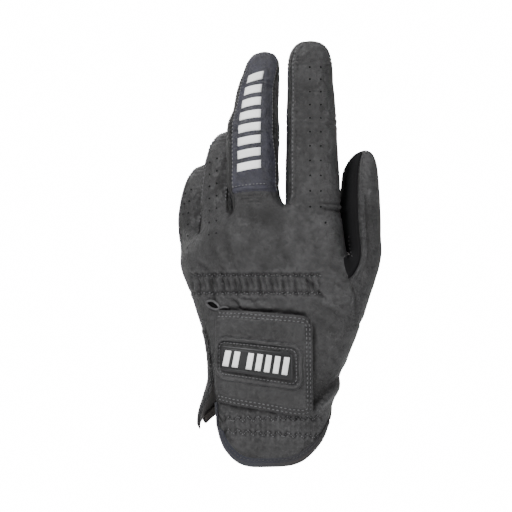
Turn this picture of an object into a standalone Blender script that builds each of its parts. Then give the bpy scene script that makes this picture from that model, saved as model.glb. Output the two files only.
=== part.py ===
# Golf glove for the left hand, standing upright as if a hand filled it.
# +Z runs to the fingertips, -Y faces away from the back of the hand, +X is the thumb side.
# The origin is the centre of the wrist opening, level with the lowest point of the cuff's hem.
import math

import bpy
import numpy as np

for old in list(bpy.data.objects):
    bpy.data.objects.remove(old, do_unlink=True)

MM = 0.001
ORIGIN = np.array([1.5, 21.0, -2.2])   # centre of the wrist opening in the working frame, in millimetres

# ---- driving dimensions, in millimetres -------------------------------------------------------
LEATHER = 0.9          # thickness of the leather panels
GAP = 0.3              # clearance between neighbouring pieces
FLARE = 10.5           # how far the free corner at the foot of the slit stands out
TAB_LEFT = -26.6       # sewn end of the closure tab
TAB_RIGHT = 22.9       # free end of the closure tab
TAB_CORNER = 6.0       # radius of the free corners
TAB_LEATHER = 1.1
HOOK_THICK = 0.9
LOOP_THICK = 0.9
BADGE_THICK = 1.3
BINDING_WIDTH = 3.9
BINDING_THICK = 0.6
ELASTIC_THICK = 0.8
WRIST_CENTRE = (1.5, 21.0)
WRIST_HALF = (30.0, 21.0)

# Height of each row of the hand's net down the thumb side of the middle finger
ROW_Z = [131.0, 118.0, 105.0, 93.0, 81.0, 67.0]
ROW_TO_WRIST = [0.0, 0.10, 0.25, 0.42, 0.58, 0.75, 0.88, 0.96, 1.0, 1.0, 1.0, 1.0]
ROW_KNUCKLE_TILT = [1.0, 0.75, 0.5, 0.3, 0.15, 0.05]
ROW_TO_HEM = [0.18, 0.345, 0.495, 0.643, 0.806, 1.0]

# The hand's girth has 20 columns: 9 over the back from the little finger to the index finger,
# one on the thumb side, 9 over the palm back again, one on the little finger's side.
KNUCKLES = [
    (-45.0, 43.0, 109.0), (-43.0, 33.0, 112.0), (-36.6, 22.5, 116.5), (-29.6, 12.5, 122.0),
    (-19.2, 5.5, 127.0), (-6.8, -0.8, 134.0), (8.2, 1.6, 131.0), (23.6, -1.0, 131.0),
    (35.0, 3.0, 128.0), (39.3, 12.0, 127.0), (34.0, 21.5, 129.0), (23.0, 26.5, 131.0),
    (9.0, 26.0, 132.0), (-3.0, 29.0, 133.0), (-9.5, 35.0, 127.5), (-15.5, 42.0, 124.0),
    (-23.0, 49.5, 117.5), (-30.5, 58.0, 113.0), (-39.5, 59.5, 110.0), (-45.5, 52.5, 109.0),
]
HEM_Z = [13.0, 2.2, -1.2, -1.6, -1.4, -1.3, -0.6, 2.6, 11.0, 21.0,
         29.0, 33.0, 34.0, 34.0, 34.0, 34.0, 33.0, 31.0, 28.0, 22.0]
# Outline of the hand without the thumb: height, little finger side, thumb side
OUTLINE = [
    (0.0, -27.5, 29.0), (13.0, -28.3, 30.6), (24.0, -28.8, 32.6), (34.0, -30.0, 35.4),
    (44.0, -32.0, 39.0), (55.0, -32.6, 43.0), (67.0, -34.4, 47.6), (81.0, -39.4, 50.0),
    (93.0, -43.4, 47.0), (105.0, -48.0, 43.0), (118.0, -49.6, 39.6), (135.0, -49.0, 39.3),
]

# Fingers: angle the back of the finger is turned away, start of the centre line, then for each
# ring (step, lean towards the palm, half width, half depth)
FINGERS = {
    "pinky": (30.0, (-38.6, 49.6, 116.0), [
        (7.8, 6, 10.0, 9.4), (7.5, 8, 9.9, 9.3), (7.0, 11, 9.9, 9.2), (6.0, 24, 9.8, 9.2),
        (6.0, 55, 9.8, 9.3), (6.0, 84, 9.6, 9.2), (7.0, 100, 9.3, 8.8), (7.5, 108, 9.0, 8.5),
        (7.0, 124, 8.7, 8.3), (6.5, 142, 8.4, 8.0), (6.5, 150, 7.6, 7.4), (3.4, 152, 5.0, 4.8),
        (1.4, 152, 1.6, 1.5)]),
    "ring": (27.0, (-25.2, 30.0, 126.5), [
        (7.5, 10, 10.4, 10.4), (7.5, 11, 10.4, 10.4), (9.5, 13, 10.4, 10.4), (9.0, 22, 10.4, 10.5),
        (7.0, 52, 10.6, 10.6), (7.0, 82, 10.4, 10.4), (8.0, 100, 10.0, 10.0), (9.0, 106, 9.8, 9.6),
        (8.0, 124, 9.5, 9.3), (7.0, 142, 9.2, 9.0), (7.5, 150, 8.2, 8.0), (3.6, 152, 5.4, 5.2),
        (1.5, 152, 1.7, 1.6)]),
    "middle": (13.0, (-6.9, 12.4, 132.0), [
        (7.0, 6, 12.6, 12.0), (7.5, 10, 12.5, 12.0), (10.0, 14, 12.6, 11.9), (10.0, 15, 12.9, 11.9),
        (9.5, 22, 12.9, 11.9), (9.0, 29, 11.7, 11.1), (9.5, 33, 10.8, 10.3), (9.5, 37, 10.2, 9.8),
        (8.5, 40, 9.5, 9.2), (6.0, 42, 7.9, 7.7), (3.4, 43, 5.0, 4.9), (1.4, 43, 1.6, 1.6)]),
    "index": (-6.0, (23.4, 12.2, 130.0), [
        (5.5, 0, 14.0, 12.6), (13.0, 0, 13.9, 12.3), (11.5, 0, 13.4, 11.9), (12.0, 0, 13.1, 11.6),
        (12.0, 0, 12.6, 11.2), (12.0, 1, 12.0, 10.7), (10.0, 1, 11.6, 10.3), (6.5, 1, 10.5, 9.4),
        (3.8, 1, 8.2, 7.6), (2.0, 1, 5.2, 5.0), (0.7, 1, 1.8, 1.8)]),
}
FINGER_ORDER = ["pinky", "ring", "middle", "index"]
FINGER_SLANT = {"pinky": 0.08, "ring": 0.0, "middle": -0.055, "index": -0.02}
WEB_RISE = 2.6
RING_ANGLES = [137, 90, 43, 0, -43, -90, -137, 180]

# Thumb: ring centres and half sizes; the first ring is its seam with the hand's opening
THUMB_ANGLES = [220, 264, 300, 332, 5, 38, 72, 106, 142, 180]
THUMB = [
    (50.2, 23.6, 106.0, 9.8, 12.0, -16), (49.7, 23.8, 113.5, 9.8, 11.8, -7),
    (48.5, 23.2, 122.5, 10.3, 11.7, 0), (48.3, 22.8, 132.0, 10.4, 11.6, 0),
    (47.8, 22.2, 141.5, 10.3, 11.4, 0), (47.8, 21.8, 149.0, 9.5, 10.6, 3),
    (48.4, 21.6, 155.7, 8.2, 9.0, 6), (49.2, 21.4, 160.2, 5.6, 6.2, 8),
    (49.8, 21.4, 162.2, 1.8, 2.0, 8),
]

COLOURS = {
    "black_leather": (0.085, 0.085, 0.090, 1.0),
    "inner_black": (0.012, 0.012, 0.013, 1.0),
    "navy": (0.085, 0.088, 0.135, 1.0),
    "binding": (0.07, 0.075, 0.10, 1.0),
    "plate": (0.030, 0.030, 0.032, 1.0),
    "mark": (0.80, 0.80, 0.80, 1.0),
    "fabric": (0.03, 0.03, 0.032, 1.0),
}


def material(name, kind, rough):
    """A Principled material of its own for one piece."""
    m = bpy.data.materials.new(name)
    m.use_nodes = True
    shader = m.node_tree.nodes["Principled BSDF"]
    shader.inputs["Base Color"].default_value = COLOURS[kind]
    shader.inputs["Roughness"].default_value = rough
    m.diffuse_color = COLOURS[kind]
    return m


def unit(v):
    v = np.asarray(v, float)
    return v / np.linalg.norm(v)


# ---- the glove's net: a coarse quad cage whose smooth limit surface is the leather's outside ----
class Cage:
    def __init__(self):
        self.verts = []
        self.faces = []
        self.uvs = []
        self.patch = []

    def vert(self, p):
        self.verts.append(tuple(p))
        return len(self.verts) - 1

    def face(self, ids, uv, patch):
        self.faces.append(ids)
        self.uvs.append(uv)
        self.patch.append(patch)


def superellipse(f, n=2.3):
    return (1.0 - abs(f) ** n) ** (1.0 / n)


def wrist_section():
    """The girth at the wrist, as (fraction of the width, depth) for the 20 columns."""
    out = []
    for k in range(9):
        f = -0.93 + 1.86 * k / 8
        out.append((f, WRIST_CENTRE[1] - WRIST_HALF[1] * superellipse(f)))
    out.append((1.0, WRIST_CENTRE[1]))
    for k in range(8, -1, -1):
        f = -0.93 + 1.86 * k / 8
        out.append((f, WRIST_CENTRE[1] + WRIST_HALF[1] * superellipse(f)))
    out.append((-1.0, WRIST_CENTRE[1]))
    return out


def hand_point(row, col):
    wrist = wrist_section()[col]
    t = ROW_TO_WRIST[row]
    kx, ky, kz = KNUCKLES[col]
    if row == 0:
        return (kx, ky, kz)
    tilt = kz - 128.0
    if row <= 5:
        z = ROW_Z[row] + tilt * ROW_KNUCKLE_TILT[row]
    else:
        z5 = ROW_Z[5] + tilt * ROW_KNUCKLE_TILT[5]
        z = z5 + (HEM_Z[col] - z5) * ROW_TO_HEM[row - 6]
    zs = [o[0] for o in OUTLINE]
    left = float(np.interp(z, zs, [o[1] for o in OUTLINE]))
    right = float(np.interp(z, zs, [o[2] for o in OUTLINE]))
    kl = min(k[0] for k in KNUCKLES)
    kr = max(k[0] for k in KNUCKLES)
    fk = 2.0 * (kx - kl) / (kr - kl) - 1.0
    f = fk + (wrist[0] - fk) * t
    x = 0.5 * (left + right) + 0.5 * (right - left) * f
    y = ky + (wrist[1] - ky) * t
    # the ball of the thumb and the heel of the hand stand out of the palm
    palm = 1.0 if 10 <= col <= 18 else 0.0
    thenar = math.exp(-((x - 30.0) / 14.0) ** 2 - ((z - 74.0) / 24.0) ** 2)
    heel = math.exp(-((x + 22.0) / 13.0) ** 2 - ((z - 66.0) / 22.0) ** 2)
    y += palm * (6.0 * thenar + 3.0 * heel)
    return (x, y, z)


def build_cage():
    cage = Cage()
    rows = 12
    hand = [[None] * 20 for _ in range(rows)]
    for v in range(rows):
        for c in range(20):
            if c == 9 and v in (3, 4):
                continue
            hand[v][c] = cage.vert(hand_point(v, c))
    for v in range(rows - 1):
        for c in range(20):
            d = (c + 1) % 20
            if c in (8, 9) and 2 <= v < 5:
                continue
            ids = [hand[v][c], hand[v + 1][c], hand[v + 1][d], hand[v][d]]
            cage.face(ids, [(c, v), (c, v + 1), (c + 1, v + 1), (c + 1, v)], 0)
    # webs between the fingers
    web = {}
    for i in range(1, 4):
        d = np.array(KNUCKLES[2 * i])
        p = np.array(KNUCKLES[18 - 2 * i])
        m = 0.5 * (d + p)
        m[2] += WEB_RISE
        web[i] = cage.vert(m)
    web[0] = hand[0][19]
    web[4] = hand[0][9]
    frames = {}
    for i, name in enumerate(FINGER_ORDER):
        turn, start, rings = FINGERS[name]
        th = math.radians(turn)
        across = np.array([math.cos(th), -math.sin(th), 0.0])
        palm = np.array([math.sin(th), math.cos(th), 0.0])
        below = [hand[0][2 * i], hand[0][2 * i + 1], hand[0][2 * i + 2], web[i + 1],
                 hand[0][16 - 2 * i], hand[0][17 - 2 * i], hand[0][18 - 2 * i], web[i]]
        centre = np.array(start)
        frames[name] = [(centre.copy(), across, -palm)]
        for j, (step, lean, a, b) in enumerate(rings):
            f = math.radians(lean)
            up = np.array([0.0, 0.0, 1.0]) + across * FINGER_SLANT[name]
            t = unit(up * math.cos(f) + palm * math.sin(f))
            centre = centre + t * step
            nxt = rings[min(j + 1, len(rings) - 1)][1]
            g = math.radians(0.5 * (lean + nxt))
            tm = unit(up * math.cos(g) + palm * math.sin(g))
            u = unit(across - tm * float(across @ tm))
            n = np.cross(u, tm)
            ring = []
            for ang in RING_ANGLES:
                q = math.radians(ang)
                square = 1.108 * (1.03 if abs(math.sin(2 * q)) > 0.5 else 1.0)
                ring.append(cage.vert(centre + square * (a * math.cos(q) * u + b * math.sin(q) * n)))
            frames[name].append((centre.copy(), u, n))
            for k in range(8):
                m = (k + 1) % 8
                cage.face([below[k], below[m], ring[m], ring[k]],
                          [(k, j), (k + 1, j), (k + 1, j + 1), (k, j + 1)], i + 1)
            below = ring
        tip = cage.vert(centre + 0.25 * t)
        for k in (0, 2, 4, 6):
            cage.face([tip, below[k], below[k + 1], below[(k + 2) % 8]],
                      [(k, 90), (k, 91), (k + 1, 91), (k + 1, 90)], 10)
    # the thumb grows out of the opening on the thumb side
    below = [hand[2][8], hand[3][8], hand[4][8], hand[5][8], hand[5][9],
             hand[5][10], hand[4][10], hand[3][10], hand[2][10], hand[2][9]]
    for j, (x, y, z, a, b, tilt) in enumerate(THUMB):
        q = math.radians(tilt)
        u = np.array([math.cos(q), 0.0, math.sin(q)])
        v = np.array([0.0, 1.0, 0.0])
        ring = []
        for ang in THUMB_ANGLES:
            r = math.radians(ang)
            out = a * math.cos(r) * u + b * math.sin(r) * v
            ring.append(cage.vert(np.array([x, y, z]) + 1.068 * out))
        for k in range(10):
            m = (k + 1) % 10
            cage.face([below[k], below[m], ring[m], ring[k]],
                      [(k, j), (k + 1, j), (k + 1, j + 1), (k, j + 1)], 5)
        below = ring
    tip = cage.vert((THUMB[-1][0], THUMB[-1][1], THUMB[-1][2] + 0.2))
    for k in (0, 2, 4, 6, 8):
        cage.face([tip, below[k], below[k + 1], below[(k + 2) % 10]],
                  [(k, 90), (k, 91), (k + 1, 91), (k + 1, 90)], 10)
    return cage, frames


def refine(cage, level):
    """The cage's limit surface as arrays: points, normals, quads, net coordinates, patch of each quad."""
    mesh = bpy.data.meshes.new("net")
    mesh.from_pydata(cage.verts, [], cage.faces)
    layer = mesh.uv_layers.new(name="net")
    flat = [c for face in cage.uvs for c in face]
    for loop, uv in zip(layer.data, flat):
        loop.uv = uv
    for poly, patch in zip(mesh.polygons, cage.patch):
        poly.material_index = patch
    for m in range(11):
        mesh.materials.append(None)
    ob = bpy.data.objects.new("net", mesh)
    bpy.context.scene.collection.objects.link(ob)
    sub = ob.modifiers.new("smooth", "SUBSURF")
    sub.levels = level
    sub.render_levels = level
    sub.uv_smooth = "NONE"
    sub.boundary_smooth = "ALL"
    deps = bpy.context.evaluated_depsgraph_get()
    ev = ob.evaluated_get(deps)
    out = ev.to_mesh()
    n = len(out.vertices)
    pts = np.empty(n * 3)
    out.vertices.foreach_get("co", pts)
    nor = np.empty(n * 3)
    out.vertices.foreach_get("normal", nor)
    loops = len(out.loops)
    li = np.empty(loops, int)
    out.loops.foreach_get("vertex_index", li)
    uv = np.empty(loops * 2)
    out.uv_layers[0].data.foreach_get("uv", uv)
    pm = np.empty(len(out.polygons), int)
    out.polygons.foreach_get("material_index", pm)
    ev.to_mesh_clear()
    bpy.data.objects.remove(ob, do_unlink=True)
    bpy.data.meshes.remove(mesh)
    return pts.reshape(-1, 3), nor.reshape(-1, 3), li.reshape(-1, 4), uv.reshape(-1, 4, 2), pm


class Surface:
    """Looks up points and normals of one patch of the fine net by its row and column."""

    def __init__(self, fine, patch, cols, rows, level):
        pts, nor, quads, uv, pm = fine
        self.k = 2 ** level
        self.cols = cols
        w = cols * self.k + 1
        h = rows * self.k + 1
        idx = -np.ones((h, w), int)
        pick = pm == patch
        grid = np.rint(uv[pick] * self.k).astype(int).reshape(-1, 2)
        idx[grid[:, 1], grid[:, 0]] = quads[pick].reshape(-1)
        self.p = np.zeros((h, w, 3))
        self.n = np.zeros((h, w, 3))
        good = idx >= 0
        self.p[good] = pts[idx[good]]
        self.n[good] = nor[idx[good]]
        for r in range(h):
            bad = ~good[r]
            if bad.any() and good[r].any():
                x = np.arange(w)
                for c in range(3):
                    self.p[r, bad, c] = np.interp(x[bad], x[good[r]], self.p[r, good[r], c])
                    self.n[r, bad, c] = np.interp(x[bad], x[good[r]], self.n[r, good[r], c])

    def at(self, u, v):
        u = np.asarray(u, float) % self.cols * self.k
        v = np.clip(np.asarray(v, float) * self.k, 0, self.p.shape[0] - 1.0001)
        i = np.minimum(u.astype(int), self.p.shape[1] - 2)
        j = v.astype(int)
        fu = (u - i)[..., None]
        fv = (v - j)[..., None]
        out = []
        for g in (self.p, self.n):
            q = (g[j, i] * (1 - fu) + g[j, i + 1] * fu) * (1 - fv)
            out.append(q + (g[j + 1, i] * (1 - fu) + g[j + 1, i + 1] * fu) * fv)
        n = out[1] / np.linalg.norm(out[1], axis=-1, keepdims=True)
        return out[0], n

    def find(self, x, z, guess):
        """Net coordinates on the back of the hand of the points with these x and z."""
        x = np.asarray(x, float)
        z = np.asarray(z, float)
        u = np.full(x.shape, guess[0], float)
        v = np.full(x.shape, guess[1], float)
        for _ in range(40):
            p, _n = self.at(u, v)
            pu, _n = self.at(u + 0.05, v)
            pv, _n = self.at(u, v + 0.05)
            a = (pu[..., 0] - p[..., 0]) / 0.05
            b = (pv[..., 0] - p[..., 0]) / 0.05
            c = (pu[..., 2] - p[..., 2]) / 0.05
            d = (pv[..., 2] - p[..., 2]) / 0.05
            det = a * d - b * c
            ex = x - p[..., 0]
            ez = z - p[..., 2]
            u = u + np.clip((d * ex - b * ez) / det, -0.5, 0.5)
            v = np.clip(v + np.clip((a * ez - c * ex) / det, -0.5, 0.5), 0, 10.99)
        return u, v


# ---- building closed pieces --------------------------------------------------------------------
def make_object(name, verts, faces, kind, rough=0.55):
    mesh = bpy.data.meshes.new(name)
    points = [tuple((np.asarray(v) - ORIGIN) * MM) for v in verts]
    mesh.from_pydata(points, [], [tuple(int(i) for i in f) for f in faces])
    mesh.update()
    mesh.materials.append(material(name + "_finish", kind, rough))
    ob = bpy.data.objects.new(name, mesh)
    bpy.context.scene.collection.objects.link(ob)
    return ob


def panel(name, net, pick, kind, out=0.0, thick=LEATHER, edge=None, warp=None, rough=0.55):
    """A leather panel: the picked quads of the net, thickened inwards, its edges drawn back."""
    pts, nor, quads, uv, pm = net
    q = quads[pick]
    uvq = uv[pick]
    used, local = np.unique(q, return_inverse=True)
    local = local.reshape(q.shape)
    p = pts[used]
    n = nor[used]
    centre = p[local].mean(axis=1)
    edges = {}
    for f in range(len(local)):
        for k in range(4):
            a = local[f][k]
            b = local[f][(k + 1) % 4]
            edges[(a, b)] = f
    rim = [(a, b) for (a, b) in edges if (b, a) not in edges]
    rim_verts = set(a for a, b in rim) | set(b for a, b in rim)
    if warp is not None:
        at = np.zeros((len(p), 2))
        at[local.reshape(-1)] = uvq.reshape(-1, 2)
        p = p + warp(at[:, 0], at[:, 1])
    shift = np.zeros_like(p)
    pull = {}
    for f in range(len(local)):
        for k in range(4):
            a = local[f][k]
            if a in rim_verts:
                pull.setdefault(a, []).append((centre[f], uvq[f][k]))
    for a, items in pull.items():
        d = np.mean([c for c, _ in items], axis=0) - p[a]
        d = d - n[a] * float(d @ n[a])
        amount = GAP * 0.5 + 0.06
        if edge is not None:
            amount = edge(items[0][1], amount)
        length = np.linalg.norm(d)
        shift[a] = d / length * amount * (1.42 if len(items) != 2 else 1.0)
    outer = p + shift + n * out
    inner = p + shift - n * thick + n * out
    m = len(p)
    faces = [tuple(f) for f in local]
    faces += [tuple(i + m for i in f[::-1]) for f in local]
    for a, b in rim:
        faces.append((b, a, a + m, b + m))
    return make_object(name, list(outer) + list(inner), faces, kind, rough)


def sheet(name, p, n, lo, hi, kind, rough=0.55):
    """A closed plate from a grid of points: it fills from lo to hi along the normals."""
    rows, cols = p.shape[:2]
    top = (p + n * hi).reshape(-1, 3)
    low = (p + n * lo).reshape(-1, 3)
    m = rows * cols
    faces = []
    for i in range(rows - 1):
        for j in range(cols - 1):
            a = i * cols + j
            faces.append((a, a + 1, a + cols + 1, a + cols))
            faces.append((a + m, a + cols + m, a + cols + 1 + m, a + 1 + m))
    ring = [j for j in range(cols)]
    ring += [i * cols + cols - 1 for i in range(1, rows)]
    ring += [(rows - 1) * cols + j for j in range(cols - 2, -1, -1)]
    ring += [i * cols for i in range(rows - 2, 0, -1)]
    for k in range(len(ring)):
        a = ring[k]
        b = ring[(k + 1) % len(ring)]
        faces.append((b, a, a + m, b + m))
    ob = make_object(name, list(top) + list(low), faces, kind, rough)
    outward(ob)
    return ob


def outward(ob):
    """Turns a closed mesh's faces outwards if its volume comes out negative."""
    me = ob.data
    me.calc_loop_triangles()
    v = np.array([x.co for x in me.vertices])
    t = np.array([x.vertices for x in me.loop_triangles])
    vol = float(np.einsum("ij,ij->i", v[t[:, 0]], np.cross(v[t[:, 1]], v[t[:, 2]])).sum())
    if vol < 0:
        me.flip_normals()


def sweep(name, path, side, normal, profile, kind, closed=False, rough=0.55):
    """A section swept along a path; the section's axes are the side and normal directions."""
    count = len(path)
    m = len(profile)
    verts = []
    for p, s, n in zip(path, side, normal):
        for a, b in profile:
            verts.append(np.asarray(p) + np.asarray(s) * a + np.asarray(n) * b)
    faces = []
    last = count if closed else count - 1
    for i in range(last):
        j = (i + 1) % count
        for k in range(m):
            q = (k + 1) % m
            faces.append((i * m + k, i * m + q, j * m + q, j * m + k))
    if not closed:
        faces.append(tuple(range(m))[::-1])
        faces.append(tuple((count - 1) * m + k for k in range(m)))
    ob = make_object(name, verts, faces, kind, rough)
    outward(ob)
    return ob


def rounded_rows(bottom, top, left, right, r_left, r_right, rows, cols):
    """Grid of (x, z) filling a plate whose edges are functions, with rounded corners."""
    ts = []
    steep = 5
    r = max(r_left, r_right, 0.01)
    mid_h = top(0.5 * (left + right)) - bottom(0.5 * (left + right))
    f = min(r / mid_h, 0.5)
    for k in range(steep):
        ts.append(f * (1 - math.cos(0.5 * math.pi * k / steep)))
    for k in range(rows + 1):
        ts.append(f + (1 - 2 * f) * k / rows)
    for k in range(steep - 1, -1, -1):
        ts.append(1 - f * (1 - math.cos(0.5 * math.pi * k / steep)))
    xs = np.zeros((len(ts), cols))
    zs = np.zeros((len(ts), cols))
    for i, t in enumerate(ts):
        d = min(t, 1 - t) * mid_h
        cut_l = r_left - math.sqrt(max(r_left ** 2 - max(r_left - d, 0) ** 2, 0)) if r_left > 0 else 0
        cut_r = r_right - math.sqrt(max(r_right ** 2 - max(r_right - d, 0) ** 2, 0)) if r_right > 0 else 0
        x = np.linspace(left + cut_l, right - cut_r, cols)
        xs[i] = x
        zs[i] = [bottom(a) + (top(a) - bottom(a)) * t for a in x]
    return xs, zs


# ---- the glove ---------------------------------------------------------------------------------
cage, frames = build_cage()
net = refine(cage, 1)

hand = Surface(net, 0, 20, 11, 1)

pts, nor, quads, uv, pm = net
cu = uv[:, :, 0].mean(axis=1)
cv = uv[:, :, 1].mean(axis=1)
SLIT_ROW = 4.0

label = np.full(len(quads), "", dtype=object)
is_hand = pm == 0
back = (cu < 9) | (cu > 19)
slit_side = (cu > 19) & (cv > SLIT_ROW)
label[is_hand & back & ~slit_side] = "back_panel"
label[is_hand & (~back | slit_side)] = "palm_panel"
for i, name in enumerate(FINGER_ORDER):
    mine = pm == i + 1
    low = mine & (cv < 1)
    bend = mine & (cv > 1) & (cv < 2)
    far = mine & (cv > 2)
    top = cu < 2
    under = (cu > 4) & (cu < 6)
    right = (cu > 2) & (cu < 4)
    left = cu > 6
    label[bend] = name + "_knuckle_bend"
    label[low & top] = "back_panel"
    label[low & under] = "palm_panel"
    label[far & top] = name + "_back"
    label[far & under] = name + "_palm"
    if i < 3:
        gusset = "web_" + name + "_" + FINGER_ORDER[i + 1]
        label[low & right] = gusset
        label[far & right] = name + "_side_to_" + FINGER_ORDER[i + 1]
    else:
        label[low & right & (cu < 3)] = "back_panel"
        label[low & right & (cu > 3)] = "palm_panel"
        label[far & right & (cu < 3)] = name + "_back"
        label[far & right & (cu > 3)] = name + "_palm"
    if i > 0:
        gusset = "web_" + FINGER_ORDER[i - 1] + "_" + name
        label[low & left] = gusset
        label[far & left] = name + "_side_to_" + FINGER_ORDER[i - 1]
    else:
        label[low & left & (cu > 7)] = "back_panel"
        label[low & left & (cu < 7)] = "palm_panel"
        label[far & left & (cu > 7)] = name + "_back"
        label[far & left & (cu < 7)] = name + "_palm"
is_thumb = pm == 5
inner = (cu > 8) | (cu < 1)
label[is_thumb & (cv < 1) & inner] = "thumb_crotch_gusset"
label[is_thumb & (cv < 1) & ~inner] = "thumb_base_panel"
label[is_thumb & (cv > 1) & (cv < 2)] = "thumb_bend"
label[is_thumb & (cv > 2) & inner] = "thumb_inner"
label[is_thumb & (cv > 2) & ~inner] = "thumb_outer"
# the small caps that close the fingertips go to the palm pieces, the thumb's to its outer piece
caps = np.flatnonzero(pm == 10)
tips = pts[quads[caps]].mean(axis=1)
for f, c in zip(caps, tips):
    best = min(FINGER_ORDER, key=lambda nm: np.linalg.norm(frames[nm][-1][0] - c))
    near = np.linalg.norm(frames[best][-1][0] - c)
    label[f] = best + "_palm" if near < 6 else "thumb_outer"


def palm_edge(at, amount):
    """The little finger's side of the slit stands clear of the bound edge."""
    u, v = at
    if (u > 19.6 or u < 0.1) and v >= SLIT_ROW + 0.4:
        return 2.2
    return amount


def back_edge(at, amount):
    """The corner at the foot of the slit is cut off where the binding turns round it."""
    u, v = at
    if u < 0.1 and v > 10.9:
        return 1.1
    return amount


def smooth(t):
    t = np.clip(t, 0.0, 1.0)
    return t * t * (3 - 2 * t)


def flare(u, v):
    """The free corner at the foot of the slit curls away from the wrist."""
    amount = FLARE * smooth((v - 7.4) / 3.2) * smooth((u - 18.2) / 1.8) * (u <= 20.0)
    return amount[..., None] * np.array([-0.93, -0.36, 0.0])


KINDS = {}
for name in sorted(set(label)):
    kind = "black_leather"
    if name == "middle_back":
        kind = "navy"
    if name in ("thumb_inner", "thumb_crotch_gusset"):
        kind = "inner_black"
    KINDS[name] = kind
    if name == "palm_panel":
        panel(name, net, label == name, kind, edge=palm_edge, warp=flare)
    elif name == "back_panel":
        panel(name, net, label == name, kind, edge=back_edge)
    elif name.startswith("web_") or name == "thumb_crotch_gusset":
        panel(name, net, label == name, kind, thick=0.55, edge=lambda at, amount: 0.62)
    else:
        panel(name, net, label == name, kind)


# ---- the wrist: bands, bindings and the slit's trim ---------------------------------------------
def band(name, u0, u1, z, wide, cols, lo, hi, kind):
    """A strip across the back of the hand at one height, between two columns of the net."""
    us = np.linspace(u0, u1, cols)
    p = np.zeros((4, cols, 3))
    n = np.zeros((4, cols, 3))
    for k in range(4):
        want = z - 0.5 * wide + wide * k / 3
        v = np.full(cols, 4.0)
        for _ in range(60):
            a, _n = hand.at(us, v)
            b, _n = hand.at(us, v + 0.05)
            v = np.clip(v + (want - a[:, 2]) / ((b[:, 2] - a[:, 2]) / 0.05) * 0.6, 0, 10.95)
        p[k], n[k] = hand.at(us, v)
    return sheet(name, p, n, lo, hi, kind)


INNER = -(LEATHER + GAP)
band("back_elastic", -0.4, 7.7, 92.5, 10.0, 26, INNER - ELASTIC_THICK, INNER, "fabric")
band("cuff_elastic_upper", 0.45, 8.0, 27.5, 4.0, 24, INNER - ELASTIC_THICK, INNER, "fabric")
band("cuff_elastic_lower", 1.0, 7.2, 14.5, 4.0, 24, INNER - ELASTIC_THICK, INNER, "fabric")


def bind(name, us, vs, reach, kind, warp=None):
    """A tape folded over the panel's edge; us and vs are the edge's net coordinates."""
    us = np.array(us, float)
    vs = np.array(vs, float)
    step = 0.02

    def spot(u, v):
        p, n = hand.at(u, v)
        if warp is not None:
            p = p + warp(u, v)
        return p, n

    p0, n0 = spot(us, vs)
    t = np.gradient(p0, axis=0)
    t /= np.linalg.norm(t, axis=1)[:, None]
    into = np.cross(n0, t)
    into /= np.linalg.norm(into, axis=1)[:, None]
    pu = (spot(us + step, vs)[0] - p0) / step
    pv = (p0 - spot(us, vs - step)[0]) / step
    a = np.einsum("ij,ij->i", pu, pu)
    b = np.einsum("ij,ij->i", pu, pv)
    c = np.einsum("ij,ij->i", pv, pv)
    e = np.einsum("ij,ij->i", pu, into)
    f = np.einsum("ij,ij->i", pv, into)
    du = (e * c - b * f) / (a * c - b * b)
    dv = (a * f - b * e) / (a * c - b * b)
    legs = []
    for k in range(4):
        d = 0.1 + (reach - 0.1) * k / 3
        legs.append(spot(us + du * d, np.minimum(vs + dv * d, 10.999)))
    count = len(us)
    g = GAP + 0.06
    w = LEATHER
    th = BINDING_THICK
    rings = []
    for p, n in reversed(legs):
        rings.append(p + n * (g + th))
    p, n = legs[0]
    beyond = p - into * (g + th)
    rings.append(beyond + n * (g + th))
    rings.append(beyond - n * (w + g + th))
    for p, n in legs:
        rings.append(p - n * (w + g + th))
    for p, n in reversed(legs):
        rings.append(p - n * (w + g))
    p, n = legs[0]
    rings.append(p - into * g - n * (w + g))
    rings.append(p - into * g + n * g)
    for p, n in legs:
        rings.append(p + n * g)
    grid = np.stack(rings, axis=1)
    m = grid.shape[1]
    verts = grid.reshape(-1, 3)
    faces = []
    for i in range(count - 1):
        for k in range(m):
            q = (k + 1) % m
            faces.append((i * m + k, i * m + q, (i + 1) * m + q, (i + 1) * m + k))
    for base, flip in ((0, True), ((count - 1) * m, False)):
        tri = fold_caps(m)
        for f4 in tri:
            ids = [base + k for k in f4]
            faces.append(tuple(ids[::-1]) if flip else tuple(ids))
    ob = make_object(name, verts, faces, kind)
    outward(ob)
    return ob


def fold_caps(m):
    """Quads closing the end of a folded tape whose section has 20 points."""
    out = []
    outer = [0, 1, 2, 3, 4, 5, 6, 7, 8, 9]
    inner = [19, 18, 17, 16, 15, 14, 13, 12, 11, 10]
    for k in range(9):
        out.append((outer[k], outer[k + 1], inner[k + 1], inner[k]))
    return out


slit_v = list(np.linspace(8.35, 10.35, 8))
turn = [(0.03, 10.62), (0.16, 10.83), (0.36, 10.94)]
us = [0.0] * 8 + [a for a, b in turn] + list(np.linspace(0.62, 8.9, 34))
vs = slit_v + [b for a, b in turn] + [10.99] * 34
bind("cuff_binding", us, vs, BINDING_WIDTH, "binding")
us = list(np.linspace(9.12, 19.4, 34))
vs = [10.99] * 34
bind("palm_binding", us, vs, BINDING_WIDTH, "binding", warp=flare)

# the little finger's side of the slit is turned back on itself and stitched down
vv = np.linspace(4.75, 8.3, 18)
uu = np.linspace(19.34, 19.62, 4)
vg, ug = np.meshgrid(vv, uu)
p, n = hand.at(ug, vg)
p = p + flare(ug, vg)
sheet("slit_hem", p, n, GAP, GAP + 0.6, "black_leather")

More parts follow.
